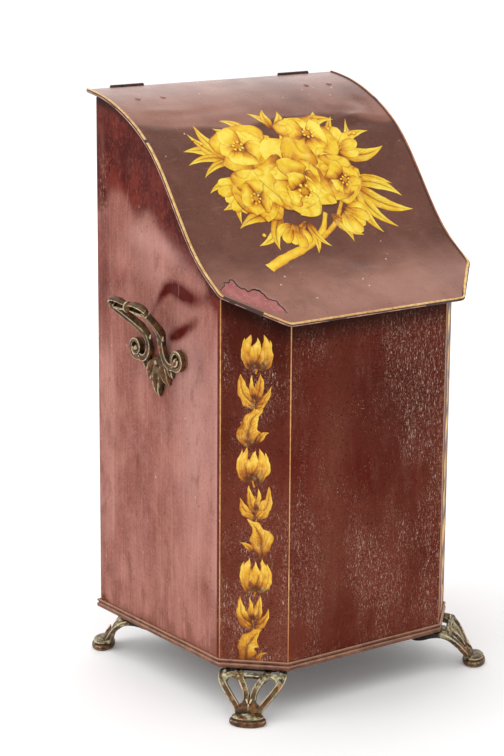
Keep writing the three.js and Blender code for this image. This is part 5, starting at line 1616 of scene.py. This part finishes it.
for side, sg in (("left", -1), ("right", 1)):
    xc = sg * HINGE_X
    x0, x1 = xc - HINGE_LEN / 2, xc + HINGE_LEN / 2
    third = HINGE_LEN / 3
    # leaf on the back panel
    p = Pile()
    yb = HD + 0.35
    line = [(yb, 470.0 + t) for t in np.linspace(0, 29.6, 16)]
    p.add(strip_yz(line, -1.0, x0, x1, 10, corner=4.0), edge=0.3)
    for a, b in ((x0, x0 + third - 0.2), (x1 - third + 0.2, x1)):
        p.add(knuckle(a, b), edge=0.35)
        p.add(strip_yz([(yb, z) for z in np.linspace(498.8, HINGE_Z, 6)], -1.0, a, b, 4), edge=0.3)
    p.object(f"{side}_hinge_back_leaf", M_STEEL, "case", replaces=[f"{side}_hinge_body_leaf"], slot="dark_steel")
    # strap under the lid with the middle knuckle
    p = Pile()
    ss = np.linspace(float(lid_s(78.0)), float(lid_s(121.0)), 16)
    rows = lid_point(xc + 0 * ss, ss, -SHEET - 0.32, dent=False)
    p.add(strip_yz([(r[1], r[2]) for r in rows], -1.0, x0, x1, 8, corner=5.0), edge=0.3)
    e = rows[-1]
    tail = [(e[1] - 2.0, e[2] - 0.25), (e[1], e[2]), (HINGE_Y - 1.6, e[2] + 0.4), (HINGE_Y, e[2] + 0.35)]
    p.add(strip_yz(tail, -1.0, x0 + third + 0.2, x1 - third - 0.2, 4), edge=0.3)
    p.add(knuckle(x0 + third + 0.2, x1 - third - 0.2), edge=0.35)
    p.object(f"{side}_hinge_lid_strap", M_STEEL, "lid", replaces=[f"{side}_hinge_lid_leaf"], slot="dark_steel")
    prof = [(0.5, -0.4), (1.0, -0.15), (1.1, 0.1), (1.1, HINGE_LEN - 0.1), (1.0, HINGE_LEN + 0.15), (0.5, HINGE_LEN + 0.4)]
    Pile().add(lathe(prof, (x0, HINGE_Y, HINGE_Z), (1, 0, 0), 16, ref=(0, 1, 0)), edge=0.4).object(f"{side}_hinge_wire_pin", M_STEEL, "case", replaces=[f"{side}_hinge_pin"], slot="dark_steel")
    for tag, t in (("a", -1), ("b", 1)):
        x = xc + t * 14
        s = float(lid_s(86.0))
        c = lid_point(x, s, 0.0)
        i = int(np.argmin(np.abs(LS - s)))
        n = np.array([0, LNY[i], LNZ[i]])
        p = Pile()
        here = float(lid_painted_light(np.array([x]), np.array([s]))[0]) + 0.1
        p.add(dome(c, n, 2.9, 1.1, under=0.6), edge=0.15, bloom=here)
        p.add(dome(c - n * (SHEET + 0.32 + 1.0), -n, 2.8, 1.0, under=0.3), edge=0.3, bloom=0.1)
        p.add(lathe([(1.2, -3.0), (1.2, 0.1)], c, n, 12), edge=0.0, bloom=0.1)
        p.object(f"{side}_lid_rivet_head_{tag}", M_LID, "lid", replaces=[f"{side}_lid_rivet_{tag}"], slot="dark_steel")
        x = xc + t * 11
        p = Pile()
        p.add(dome((x, HD + 1.35, 482), (0, 1, 0), 3.0, 1.2), edge=0.5)
        p.add(dome((x, HD - SHEET - 0.05, 482), (0, -1, 0), 2.8, 1.0), edge=0.3)
        p.add(lathe([(1.2, -2.0), (1.2, 1.6)], (x, HD, 482), (0, 1, 0), 12), edge=0.0)
        p.object(f"{side}_back_rivet_head_{tag}", M_STEEL, "case", replaces=[f"{side}_back_rivet_{tag}"], slot="dark_steel")


# ---------------------------------------------------------------- castings
def relief(v, f, rounds=8, spread=2, gain=1.0):
    """How far each point stands out of (ridge) or lies in (hollow) the casting's skin."""
    e = np.array([(q[i], q[(i + 1) % len(q)]) for q in f for i in range(len(q))])
    deg = np.bincount(e.ravel(), minlength=len(v)).astype(float)[:, None]
    def blur(a):
        s = np.zeros_like(a)
        np.add.at(s, e[:, 0], a[e[:, 1]])
        np.add.at(s, e[:, 1], a[e[:, 0]])
        return s / deg
    w = v.copy()
    for _ in range(rounds):
        w = 0.5 * w + 0.5 * blur(w)
    q = np.array([[g[0], g[1], g[2]] for g in f])
    fn = np.cross(v[q[:, 1]] - v[q[:, 0]], v[q[:, 2]] - v[q[:, 0]])
    nrm = np.zeros_like(v)
    for k in range(3):
        np.add.at(nrm, q[:, k], fn)
    nrm /= np.linalg.norm(nrm, axis=1)[:, None] + 1e-9
    d = np.sum((v - w) * nrm, axis=1)[:, None]
    for _ in range(spread):
        d = 0.5 * d + 0.5 * blur(d)
    d = d[:, 0] * gain
    return np.clip(d, 0, 1), np.clip(-d, 0, 1), nrm


def arch_section(w, t, groove=0.6):
    """Flat bar with rounded sides and a shallow channel along its outer face."""
    pts = [(-w, -t * 0.55), (-w * 0.72, -t), (w * 0.72, -t), (w, -t * 0.55), (w, t * 0.5), (w * 0.78, t), (w * 0.4, t - groove * 0.7), (0, t - groove),
           (-w * 0.4, t - groove * 0.7), (-w * 0.78, t), (-w, t * 0.5)]
    return pts


def foot_skin():
    p = Pile()
    pad = [(0.3, 0), (9.4, 0), (10.5, 0.6), (11.0, 1.8), (11.0, 4.0), (10.6, 5.0), (9.6, 5.5), (9.0, 6.1), (9.4, 6.8), (9.5, 7.6), (8.6, 8.6), (6.5, 9.4), (0.3, 10.0)]
    p.add(lathe(pad, (33, 0, 0), (0, 0, 1), 56, squash=17 / 11, ref=(1, 0, 0)))
    p.add(blob((27.2, 0, 9.5), (4.6, 12.4, 7.0)))
    p.add(blob((24.8, 0, 14.0), (3.4, 9.0, 5.5)))
    for s in (-1, 1):
        outer = catmull([(27, 9.2 * s, 7), (25.6, 10.6 * s, 12), (22.2, 15.5 * s, 18.2), (17.8, 21.4 * s, 25.2), (13.0, 25.9 * s, 31.0), (7.4, 27.6 * s, 35.0), (0.6, 27.2 * s, 36.2),
                         (-8, 26.4 * s, 34.8), (-16, 25.2 * s, 31.8), (-24, 23.6 * s, 31.2), (-32, 21 * s, 37.0)], 6)
        sc = np.interp(np.linspace(0, 1, len(outer)), [0, 0.15, 0.4, 0.6, 0.8, 1], [0.95, 0.92, 1.0, 1.08, 1.0, 0.9])
        p.add(sweep(outer, arch_section(3.3, 2.7, 0.7), sc, up=(1, 0, 0.25)))
        inner = catmull([(27.2, 3.4 * s, 7), (25.4, 3.1 * s, 13), (22.4, 3.0 * s, 19), (19.2, 3.9 * s, 25), (15.4, 6.6 * s, 30.4), (10.6, 9.8 * s, 34.4), (5.4, 11.6 * s, 36.2), (-1.0, 12.6 * s, 37.2), (-9, 13 * s, 37.8)], 6)
        p.add(sweep(inner, arch_section(3.1, 2.5, 0.6), 1.0, up=(1, 0, 0.25)))
        arch = catmull([(13, 25.6 * s, 31.2), (10.0, 23.4 * s, 35.0), (8.4, 19.6 * s, 36.9), (8.2, 15.2 * s, 36.6), (9.4, 11.6 * s, 34.6), (12, 10 * s, 32)], 6)
        p.add(sweep(arch, arch_section(2.5, 2.4, 0.4), 1.0, up=(0.6, 0, 1)))
        # little scrolls where the bars meet the arch
        p.add(blob((9.6, 24.8 * s, 35.6), (3.0, 3.4, 3.0)))
        p.add(blob((9.8, 12.0 * s, 35.4), (3.0, 3.2, 2.9)))
        # raised fillets of the Y on the neck
        p.add(tube([(28.4, 0.4 * s, 17.2), (27.4, 1.6 * s, 19.4), (26.0, 2.7 * s, 21.6)], 0.95, 8))
    p.add(tube([(31.2, 0, 12.4), (30.2, 0, 14.6), (28.6, 0, 17.4)], 1.0, 8))
    p.add(sweep(catmull([(8.6, -13, 36.2), (8.2, 0, 36.9), (8.6, 13, 36.2)], 8), arch_section(2.3, 2.2, 0.3), 1.0, up=(0.5, 0, 1)))
    plate = [(-35.5, -19), (-31, -24), (-10, -24), (-5, -19), (-5, 19), (-10, 24), (-31, 24), (-35.5, 19)]
    v = np.array([(x, y, z) for z in (36.5, 40.15) for x, y in plate])
    m = len(plate)
    p.add((v, [tuple(range(m))[::-1], tuple(range(m, 2 * m))] + [(i, (i + 1) % m, m + (i + 1) % m, m + i) for i in range(m)]))
    p.add(lathe([(0.3, 37.5), (7, 37.5), (7, 44.4), (6.6, 44.7), (0.3, 44.7)], (-20, 0, 0), (0, 0, 1), 32))
    v, f = fused(p, 0.5, passes=2, factor=0.5)
    # the pad stands flat on the floor
    v[:, 2] = np.where(v[:, 2] < 0.35, np.maximum(v[:, 2], 0.0) * 0.0, v[:, 2])
    v[:, 2] = np.clip(v[:, 2], 0.0, 44.7)
    rough = 0.10 * noise2(v[:, 0] * 1.3 + v[:, 2], v[:, 1] * 1.3 - v[:, 2], 3.2, 91) + 0.05 * noise2(v[:, 0] + 2 * v[:, 2], v[:, 1], 1.4, 92)
    ridge, hollow, nrm = relief(v, f, 14, 1, 2.3)
    keep = (v[:, 2] > 1.0)[:, None]
    v = v + nrm * (rough[:, None] * keep)
    return v, f, ridge, hollow


FOOT = foot_skin()
print("foot faces", len(FOOT[1]))


def place_foot(name, where, x, y, turn, seed):
    v, f, ridge, hollow = FOOT
    c, s = math.cos(math.radians(turn)), math.sin(math.radians(turn))
    w = np.stack([x + c * v[:, 0] - s * v[:, 1], y + s * v[:, 0] + c * v[:, 1], v[:, 2] - FOOT_H], 1)
    # painted shade: under the box and at the top of the arches, in the shadow of the moulding, the casting is darkened
    shade = 0.75 * smooth(5, -4, v[:, 0]) + 0.30 * smooth(38.6, 39.6, v[:, 2])
    pale = 0.9 * smooth(27, 34, v[:, 2]) + 1.0 * np.exp(-((v[:, 2] - 8.6) / 1.9) ** 2) - 0.8 * smooth(5.6, 4.6, v[:, 2]) + 0.35 * np.exp(-(np.abs(v[:, 1]) / 2.2) ** 2) * smooth(30, 22, v[:, 2])
    brown = 0.9 * np.exp(-((v[:, 2] - 19) / 9) ** 2) + 1.0 * smooth(6.0, 4.8, v[:, 2])
    return mesh_object(name, w, f, M_CAST, "case", [where], "cast_brass", angle=70, recalc=False,
                       attrs={"ridge": ridge * smooth(-2, 6, v[:, 0]), "hollow": np.clip(hollow + shade, 0, 1), "pale": pale, "brown": brown})


place_foot("front_left_foot_casting", "foot_front_left", -FRONT_FOOT[0], FRONT_FOOT[1], -135, 1)
place_foot("front_right_foot_casting", "foot_front_right", FRONT_FOOT[0], FRONT_FOOT[1], -45, 2)
place_foot("rear_left_foot_casting", "foot_rear_left", -REAR_FOOT[0], REAR_FOOT[1], 135, 3)
place_foot("rear_right_foot_casting", "foot_rear_right", REAR_FOOT[0], REAR_FOOT[1], 45, 4)


def leaf_lobe(base, tip, width, height, hollow=0.55, lean=0.0, blunt=0.0):
    """A cast leaf lying on the panel: rims stand up round a hollow middle. base and tip are (s, z)."""
    base, tip = np.asarray(base, float), np.asarray(tip, float)
    L = np.linalg.norm(tip - base)
    d = (tip - base) / L
    n = np.array([-d[1], d[0]])
    v = np.linspace(0.0, 1.0, 26)[:, None]
    u = np.linspace(-1, 1, 17)[None, :]
    w = np.maximum(np.sin(np.pi * v ** (0.75 + 0.25 * blunt)) ** (0.8 - 0.3 * blunt) * (1 - 0.35 * (1 - blunt) * v), 0.03) * width / 2
    S = base[0] + d[0] * L * v + n[0] * u * w
    Z = base[1] + d[1] * L * v + n[1] * u * w
    dome_ = np.sqrt(np.clip(1 - u ** 4, 0, 1)) * np.sqrt(np.clip(np.sin(np.pi * np.clip(v, 0.01, 0.99)), 0, 1))
    h = 0.6 + height * dome_ * (1 - hollow * np.exp(-(u / 0.42) ** 2) * np.exp(-((v - 0.5) / 0.30) ** 2)) + lean * v
    top = np.stack([h + 0 * S, S, Z], -1)
    bot = np.stack([0 * S - 0.5, S, Z], -1)
    return slab(top, bot)


def handle_skin():
    p = Pile()
    for s in (-1, 1):
        # scroll: a ribbon rolled round its boss
        a = np.linspace(math.radians(232), math.radians(232 + 500), 64)
        r = np.interp(np.linspace(0, 1, 64), [0, 0.35, 0.75, 1], [9.3, 8.3, 5.2, 3.6])
        # it leaves the arm's foot, runs under, outside, and over the top
        sp = np.stack([3.6 + 1.5 * np.linspace(0, 1, 64), s * (32.5 + r * np.cos(a)), r * np.sin(a)], 1)
        oz = np.interp(np.linspace(0, 1, 64), [0, 0.5, 1], [3.0, 2.9, 2.5])
        p.add(sweep(sp, [(-1.45, -1), (-0.9, -1.08), (0.9, -1.08), (1.45, -1), (1.5, 0.0), (1.45, 1), (0.7, 1.12), (-0.7, 1.12), (-1.45, 1), (-1.5, 0)],
                    np.stack([np.linspace(1.35, 0.95, 64), oz], 1), up=(1, 0, 0)))
        p.add(blob((2.2, 32.5 * s, 0), (1.9, 7.8, 7.8)))
        p.add(blob((5.6, 32.7 * s, -0.2), (2.7, 2.7, 2.7)))
        # arm, foot to grip
        arm = catmull([(4.3, 26.5 * s, -7.2), (4.0, 20.5 * s, -7.4), (4.4, 14.4 * s, -3.0), (5.0, 11.0 * s, 5.0), (6.6, 11.2 * s, 13.5), (10.0, 14.8 * s, 21.5), (16.5, 19.2 * s, 28.8),
                       (25.0, 23.2 * s, 36.8), (31.5, 25.8 * s, 42.6), (36.0, 27.2 * s, 46.6)], 7)
        sc = np.interp(np.linspace(0, 1, len(arm)), [0, 0.2, 0.45, 0.6, 0.8, 1], [1.0, 0.86, 0.88, 1.1, 1.0, 1.05])
        p.add(sweep(arm, arch_section(3.95, 3.4, 1.3), sc, up=(1, 0, 0)))
        # leaf curls at the elbow
        p.add(blob((8.8, 12.6 * s, 18.5), (3.6, 3.4, 4.6)))
        p.add(tube(catmull([(7.5, 14.5 * s, 15.0), (10.5, 18.0 * s, 18.0), (11.5, 20.0 * s, 21.5)], 6), 1.7, 10, radius=[1.7, 1.5, 0.8]))
        p.add(tube(catmull([(6.0, 9.5 * s, 12.0), (7.5, 6.6 * s, 14.6), (7.8, 5.2 * s, 17.8)], 6), 1.4, 10, radius=[1.4, 1.2, 0.6]))
        # half of the grip: a scoop, hollow on its outer underside
        g = catmull([(35.2, 28.6 * s, 45.8), (36.6, 25.0 * s, 47.6), (37.4, 19.0 * s, 48.8), (37.3, 12.0 * s, 48.9), (36.9, 6.0 * s, 48.2), (36.5, 1.0 * s, 47.6)], 8)
        k = len(g)
        gs = np.interp(np.linspace(0, 1, k), [0, 0.08, 0.3, 0.6, 0.86, 1], [0.45, 0.82, 1.12, 1.12, 0.82, 0.66])
        c0 = math.radians(-28)
        outer = [(5.3 * math.cos(b), 5.0 * math.sin(b)) for b in np.linspace(c0 + math.radians(52), c0 + math.radians(308), 22)]
        inner = [(3.5 * math.cos(b), 3.3 * math.sin(b)) for b in np.linspace(c0 + math.radians(308), c0 + math.radians(52), 20)]
        # section axes: first is out from the panel, second is up
        sec = outer + inner
        t, A, B = frames_along(g, (0, 0, 1))
        V = []
        for i in range(k):
            o_dir = np.array([1.0, 0, 0]) - t[i] * t[i][0]
            o_dir /= np.linalg.norm(o_dir)
            z_dir = np.array([0, 0, 1.0]) - t[i] * t[i][2] - o_dir * o_dir[2]
            z_dir /= np.linalg.norm(z_dir)
            for (ex, ez) in sec:
                V.append(g[i] + gs[i] * (o_dir * ex + z_dir * ez))
        m = len(sec)
        f = [tuple(q) for q in grid_faces(k, m, 0, wrap=True)]
        f += [tuple(range(m))[::-1], tuple((k - 1) * m + j for j in range(m))]
        p.add((np.array(V), f))
        p.add(blob((35.4, 28.0 * s, 45.6), (3.4, 3.0, 3.6)))
        # side lobes of the pendant
        p.add(leaf_lobe((5.0 * s, -5.0), (15.5 * s, -27.5), 15.5, 6.2, 0.8, blunt=0.7))
        p.add(leaf_lobe((17.5 * s, -3.5), (21.0 * s, -20.0), 9.5, 5.0, 0.75, blunt=0.7))
    p.add(blob((36.7, 0, 47.8), (5.5, 2.3, 5.4)))
    p.add(blob((36.7, 0, 47.8), (4.6, 3.6, 4.5)))
    p.add(leaf_lobe((0, -10.0), (0, -40.8), 16.5, 7.4, 0.84, blunt=0.35))
    p.add(blob((2.6, 0, -6.5), (3.4, 9.0, 4.4)))
    p.add(blob((5.0, 0, -7.6), (2.6, 2.8, 2.8)))
    v, f = fused(p, 0.42, passes=2, factor=0.45)
    v[:, 0] = np.maximum(v[:, 0], 0.1)
    rough = 0.08 * noise2(v[:, 1] * 1.2 + v[:, 0], v[:, 2] * 1.2 - v[:, 0], 2.6, 93) + 0.04 * noise2(v[:, 1], v[:, 2] + v[:, 0], 1.2, 94)
    ridge, hollow, nrm = relief(v, f, 16, 1, 2.6)
    v = v + nrm * (rough * smooth(0.15, 1.0, v[:, 0]))[:, None]
    v[:, 0] = np.maximum(v[:, 0], 0.1)
    v[:, 0] = np.where(v[:, 0] > 30, 30 + (v[:, 0] - 30) * 0.94, v[:, 0])
    # painted shade: close against the panel the casting is darkened
    hollow = np.clip(hollow + 0.75 * smooth(2.0, 0.2, v[:, 0]), 0, 1)
    return v, f, ridge, hollow


HANDLE = handle_skin()
print("handle faces", len(HANDLE[1]))
for side, sg in (("left", -1), ("right", 1)):
    v, f, ridge, hollow = HANDLE
    w = np.stack([sg * (HW + v[:, 0]), HANDLE_Y + sg * v[:, 1], HANDLE_Z + v[:, 2]], 1)
    mesh_object(f"{side}_handle_casting", w, f, M_CAST, "case", [f"{side}_handle"], "cast_brass", angle=75, recalc=True,
                attrs={"ridge": ridge, "hollow": hollow, "pale": 0 * ridge - 0.6, "brown": 0.5 + 0.35 * smooth(12, -14, v[:, 2])})
    for tag, s in (("front", -1), ("rear", 1)):
        t = s * sg
        p = Pile()
        x = sg * (HW - SHEET - 0.1)
        p.add(dome((x, HANDLE_Y + 32.5 * s, HANDLE_Z), (-sg, 0, 0), 3.3, 1.3, ref=(0, 1, 0)), edge=0.4)
        p.add(lathe([(1.25, -0.5), (1.25, 5.6)], (x, HANDLE_Y + 32.5 * s, HANDLE_Z), (sg, 0, 0), 12, ref=(0, 1, 0)), edge=0.0)
        p.object(f"{side}_handle_rivet_head_{tag}", M_STEEL, "case", replaces=[f"{side}_handle_rivet_{tag}"], slot="dark_steel")

# ---------------------------------------------------------------- liner and bail
def inset_outline(d, r=5.0, per=7):
    """Body plan moved in by d, its corners rounded: closed loop of points."""
    x, yf, yb = HW - d, -(HD - d), HD - d
    c = CORNER - d * (2 - math.sqrt(2))
    pts = np.array([(-x, yb), (-x, yf + c), (-x + c, yf), (x - c, yf), (x, yf + c), (x, yb)], float)
    out = []
    n = len(pts)
    for i in range(n):
        a, b, e = pts[i - 1], pts[i], pts[(i + 1) % n]
        u, v = (a - b) / np.linalg.norm(a - b), (e - b) / np.linalg.norm(e - b)
        half = math.acos(np.clip(u @ v, -1, 1)) / 2
        t = r / math.tan(half)
        m = (u + v) / np.linalg.norm(u + v)
        cen = b + m * r / math.sin(half)
        p0, p1 = b + u * t - cen, b + v * t - cen
        g0, g1 = math.atan2(p0[1], p0[0]), math.atan2(p1[1], p1[0])
        dg = (g1 - g0 + math.pi) % (2 * math.pi) - math.pi
        for k in range(per):
            g = g0 + dg * k / (per - 1)
            out.append(cen + r * np.array([math.cos(g), math.sin(g)]))
        # points along the straight to the next corner
        b2, e2 = e, pts[(i + 2) % n]
        u2, v2 = (b - e) / np.linalg.norm(b - e), (e2 - e) / np.linalg.norm(e2 - e)
        half2 = math.acos(np.clip(u2 @ v2, -1, 1)) / 2
        q = e + u2 * r / math.tan(half2)
        s = out[-1]
        k = (18, 5, 14, 5, 18, 22)[i]
        for j in range(1, k):
            out.append(s + (q - s) * j / k)
    return np.array(out)


def liner():
    off = HW - 127.0
    prof = [(0.0, 7.0, 0.3), (0.0, 12.0, 0.1)] + [(0.0, z, 0.0) for z in np.linspace(30, 225, 12)] + [(0.0, 235.2, 0.1)]
    for a in np.linspace(-100, 95, 10):  # rolled rim
        prof.append((-0.15 - 1.55 * math.cos(math.radians(a)) * 1.0, 238.3 + 1.65 * math.sin(math.radians(a)), 0.62))
    prof += [(1.0, 239.4, 0.4), (1.0, 236.0, 0.1)] + [(1.0, z, 0.0) for z in np.linspace(225, 30, 12)] + [(1.0, 12.0, 0.0), (1.6, 9.0, 0.0), (3.2, 8.0, 0.0)]
    base = inset_outline(off)
    rings, E = [], []
    for (d, z, e) in prof:
        o = inset_outline(off + d)
        dent = (0.5 * noise2(o[:, 0] + o[:, 1], 0 * o[:, 0] + z, 60, 101) + 0.25 * noise2(o[:, 0] - o[:, 1], 0 * o[:, 0] + z, 24, 102)) * smooth(8, 40, z) * smooth(239, 215, z)
        cen = o - np.array([0, 0.0])
        n = cen / np.linalg.norm(cen, axis=1)[:, None]
        o = o - n * np.abs(dent)[:, None] * 0.9
        rings.append(np.c_[o, np.full(len(o), z)])
        E.append(np.full(len(o), e))
    V = np.concatenate(rings)
    m, n = len(base), len(prof)
    f = [tuple(q) for q in grid_faces(n, m, 0, wrap=True)]
    f += [tuple(range(m))[::-1], tuple((n - 1) * m + j for j in range(m))]
    mesh_object("coal_liner_pan", V, f, M_PAN, "case", ["coal_liner"], "liner_metal", attrs={"edge": np.concatenate(E)}, angle=40)
    xi = 127.0 - SHEET - 0.3
    for side, sg in (("left", -1), ("right", 1)):
        # ear: rounded plate with the bail's hole through it
        hole, k = 2.9, 40
        a = 2 * np.pi * np.arange(k) / k
        def edge_at(t):
            c, s = math.cos(t), math.sin(t)
            best = 1e9
            poly = [(-14, 220), (14, 220), (14, 234), (9.5, 240.5), (6.6, 247), (5.9, 250.2), (4.0, 252.1), (1.4, 252.5), (-1.4, 252.5), (-4.0, 252.1), (-5.9, 250.2), (-6.6, 247), (-9.5, 240.5), (-14, 234)]
            for i in range(len(poly)):
                p0, p1 = np.array(poly[i - 1], float) - (0, 247), np.array(poly[i], float) - (0, 247)
                e = p1 - p0
                den = c * e[1] - s * e[0]
                if abs(den) < 1e-9:
                    continue
                r = (p0[0] * e[1] - p0[1] * e[0]) / den
                w = (p0[0] * s - p0[1] * c) / den
                if r > 0 and -1e-6 <= w <= 1 + 1e-6:
                    best = min(best, r)
            return best
        R = np.array([edge_at(t) for t in a])
        def ringy(r, x):
            return np.stack([np.full(k, x), r * np.cos(a), 247 + r * np.sin(a)], 1)
        xo, xn = sg * xi, sg * (xi - 1.5)
        V = np.concatenate([ringy(hole, xo), ringy(R - 0.25, xo), ringy(R, sg * (xi - 0.3)), ringy(R, sg * (xi - 1.2)), ringy(R - 0.25, xn), ringy(hole, xn)])
        f = [tuple(q) for q in grid_faces(6, k, 0, wrap=True)] + [(5 * k + j, 5 * k + (j + 1) % k, (j + 1) % k, j) for j in range(k)]
        mesh_object(f"{side}_bail_ear_plate", V, f, M_PAN, "case", [f"{side}_bail_ear"], "liner_metal", attrs={"edge": np.full(len(V), 0.35)}, angle=30)
        for tag, t in (("front", -1), ("rear", 1)):
            p = Pile()
            p.add(dome((sg * (xi - 1.5), 9 * t, 228), (-sg, 0, 0), 3.0, 1.3, ref=(0, 1, 0)), edge=0.45)
            p.add(dome((sg * 127.05, 9 * t, 228), (sg, 0, 0), 2.9, 1.0, ref=(0, 1, 0)), edge=0.3)
            p.add(lathe([(1.2, -2.5), (1.2, 1.4)], (sg * 126.0, 9 * t, 228), (sg, 0, 0), 12, ref=(0, 1, 0)), edge=0.0)
            p.object(f"{side}_ear_rivet_head_{tag}", M_STEEL, "case", replaces=[f"{side}_ear_rivet_{tag}"], slot="dark_steel")


liner()


def fillet(points, r, per=7, share=0.48):
    p = np.asarray(points, float)
    out = [p[0]]
    for i in range(1, len(p) - 1):
        a, b, c = p[i - 1], p[i], p[i + 1]
        u, v = (a - b), (c - b)
        lu, lv = np.linalg.norm(u), np.linalg.norm(v)
        t = min(r, lu * share, lv * share)
        q0, q1 = b + u / lu * t, b + v / lv * t
        for k in range(per):
            w = k / (per - 1)
            out.append((1 - w) ** 2 * q0 + 2 * w * (1 - w) * b + w * w * q1)
    out.append(p[-1])
    return np.array(out)


def bail():
    xa, z, yb = 121.1, 247.0, 107.0
    path = np.vstack([fillet([(-129.2, 0, z), (-xa, 0, z), (-xa, 30, z)], 4.5), fillet([(-xa, 30, z), (-xa, yb, z), (0, yb, z)], 46, 18, 0.9)[1:],
                      fillet([(0, yb, z), (xa, yb, z), (xa, 30, z)], 46, 18, 0.9)[1:], fillet([(xa, 30, z), (xa, 0, z), (129.2, 0, z)], 4.5)[1:]])
    path = resample(path, 3.0)
    w = np.abs(path[:, 0])
    path[:, 2] += 0.35 * np.sin(path[:, 1] / 19.0) * (w > 118) * (path[:, 1] > 6)
    v, f = tube(path, 2.3, 14)
    Pile().add((v, f), edge=0.3).object("liner_bail_wire", M_IRON, "bail", replaces=["liner_bail"], slot="dark_steel")


bail()

# what shows as it was packed: bottom plate, foot bolts and nuts
for name, ob in frame["nodes"].items():
    if not ob.hide_render:
        m = M_INSIDE if name == "bottom_plate" else M_IRON
        ob.data.materials.clear()
        ob.data.materials.append(m)
        print("kept", name)

# ---------------------------------------------------------------- camera, light, floor
def camera():
    cam = bpy.data.cameras.new("camera")
    cam.lens, cam.sensor_width, cam.sensor_fit = 108.99, 36.0, "AUTO"
    cam.clip_start, cam.clip_end = 0.05, 60
    ob = bpy.data.objects.new("camera", cam)
    bpy.context.scene.collection.objects.link(ob)
    yaw, pitch, roll = (math.radians(a) for a in (36.303, 13.759, 0.377))
    fw = Vector((math.sin(yaw) * math.cos(pitch), math.cos(yaw) * math.cos(pitch), -math.sin(pitch)))
    r = Vector((math.cos(yaw), -math.sin(yaw), 0))
    u = r.cross(fw)
    r2 = math.cos(roll) * r + math.sin(roll) * u
    u2 = -math.sin(roll) * r + math.cos(roll) * u
    m = Matrix((r2, u2, -fw)).transposed().to_4x4()
    m.translation = Vector((-1.27872, -1.68149, 0.79506))
    ob.matrix_world = m
    bpy.context.scene.camera = ob


def area(name, at, look, size, power, colour=(1, 1, 1)):
    l = bpy.data.lights.new(name, "AREA")
    l.shape, l.size, l.size_y = "RECTANGLE", size[0], size[1]
    l.energy, l.color = power, colour
    ob = bpy.data.objects.new(name, l)
    bpy.context.scene.collection.objects.link(ob)
    ob.location = at
    ob.rotation_mode = "QUATERNION"
    ob.rotation_quaternion = (Vector(look) - Vector(at)).to_track_quat("-Z", "Y")
    return ob


def stage():
    k = Look("floor_white")
    n = k.noise(7, 3, 0.5)
    base = k.mix(n, (0.89, 0.89, 0.892), (0.92, 0.92, 0.918))
    mat = k.surface(Base_Color=base, Roughness=0.85, Specular_IOR_Level=0.05, Emission_Color=(1.0, 1.0, 1.0, 1.0), Emission_Strength=0.05)
    me = bpy.data.meshes.new("floor")
    R, n = 14.0, 64
    v = [(0, 0, 0)] + [(R * math.cos(2 * math.pi * i / n), R * math.sin(2 * math.pi * i / n), 0) for i in range(n)]
    me.from_pydata(v, [], [(0, i + 1, (i + 1) % n + 1) for i in range(n)])
    ob = bpy.data.objects.new("floor", me)
    me.materials.append(mat)
    bpy.context.scene.collection.objects.link(ob)
    w = bpy.data.worlds.new("studio")
    bpy.context.scene.world = w
    w.use_nodes = True
    # white at the horizon, so that low views have the same white ground behind them, and softer above
    t = w.node_tree
    tc, xyz, ramp = t.nodes.new("ShaderNodeTexCoord"), t.nodes.new("ShaderNodeSeparateXYZ"), t.nodes.new("ShaderNodeMapRange")
    ramp.inputs["From Min"].default_value, ramp.inputs["From Max"].default_value = 0.125, 0.20
    ramp.inputs["To Min"].default_value, ramp.inputs["To Max"].default_value = 1.0, 0.69
    t.links.new(tc.outputs["Generated"], xyz.inputs[0])
    t.links.new(xyz.outputs["Z"], ramp.inputs["Value"])
    t.links.new(ramp.outputs["Result"], t.nodes["Background"].inputs[1])
    t.nodes["Background"].inputs[0].default_value = (1.0, 1.0, 1.0, 1)


def sun(name, towards, strength, angle, colour=(1, 1, 1)):
    l = bpy.data.lights.new(name, "SUN")
    l.energy, l.angle, l.color = strength, math.radians(angle), colour
    ob = bpy.data.objects.new(name, l)
    bpy.context.scene.collection.objects.link(ob)
    ob.rotation_mode = "QUATERNION"
    ob.rotation_quaternion = (-Vector(towards)).to_track_quat("-Z", "Y")
    return ob


camera()
stage()
sun("wide_top", (-0.30, 0.0, 0.95), 1.42, 80)
area("back_panel_light", (1.75, 2.05, 1.75), (0, 0, 0.35), (3.4, 2.0), 24)
area("low_left_light", (-2.4, 0.9, 1.2), (0, 0, 0.3), (1.4, 1.6), 10)
bpy.context.scene.view_settings.view_transform = "Standard"
bpy.context.scene.view_settings.look = "None"
bpy.context.scene.view_settings.exposure = 0.0
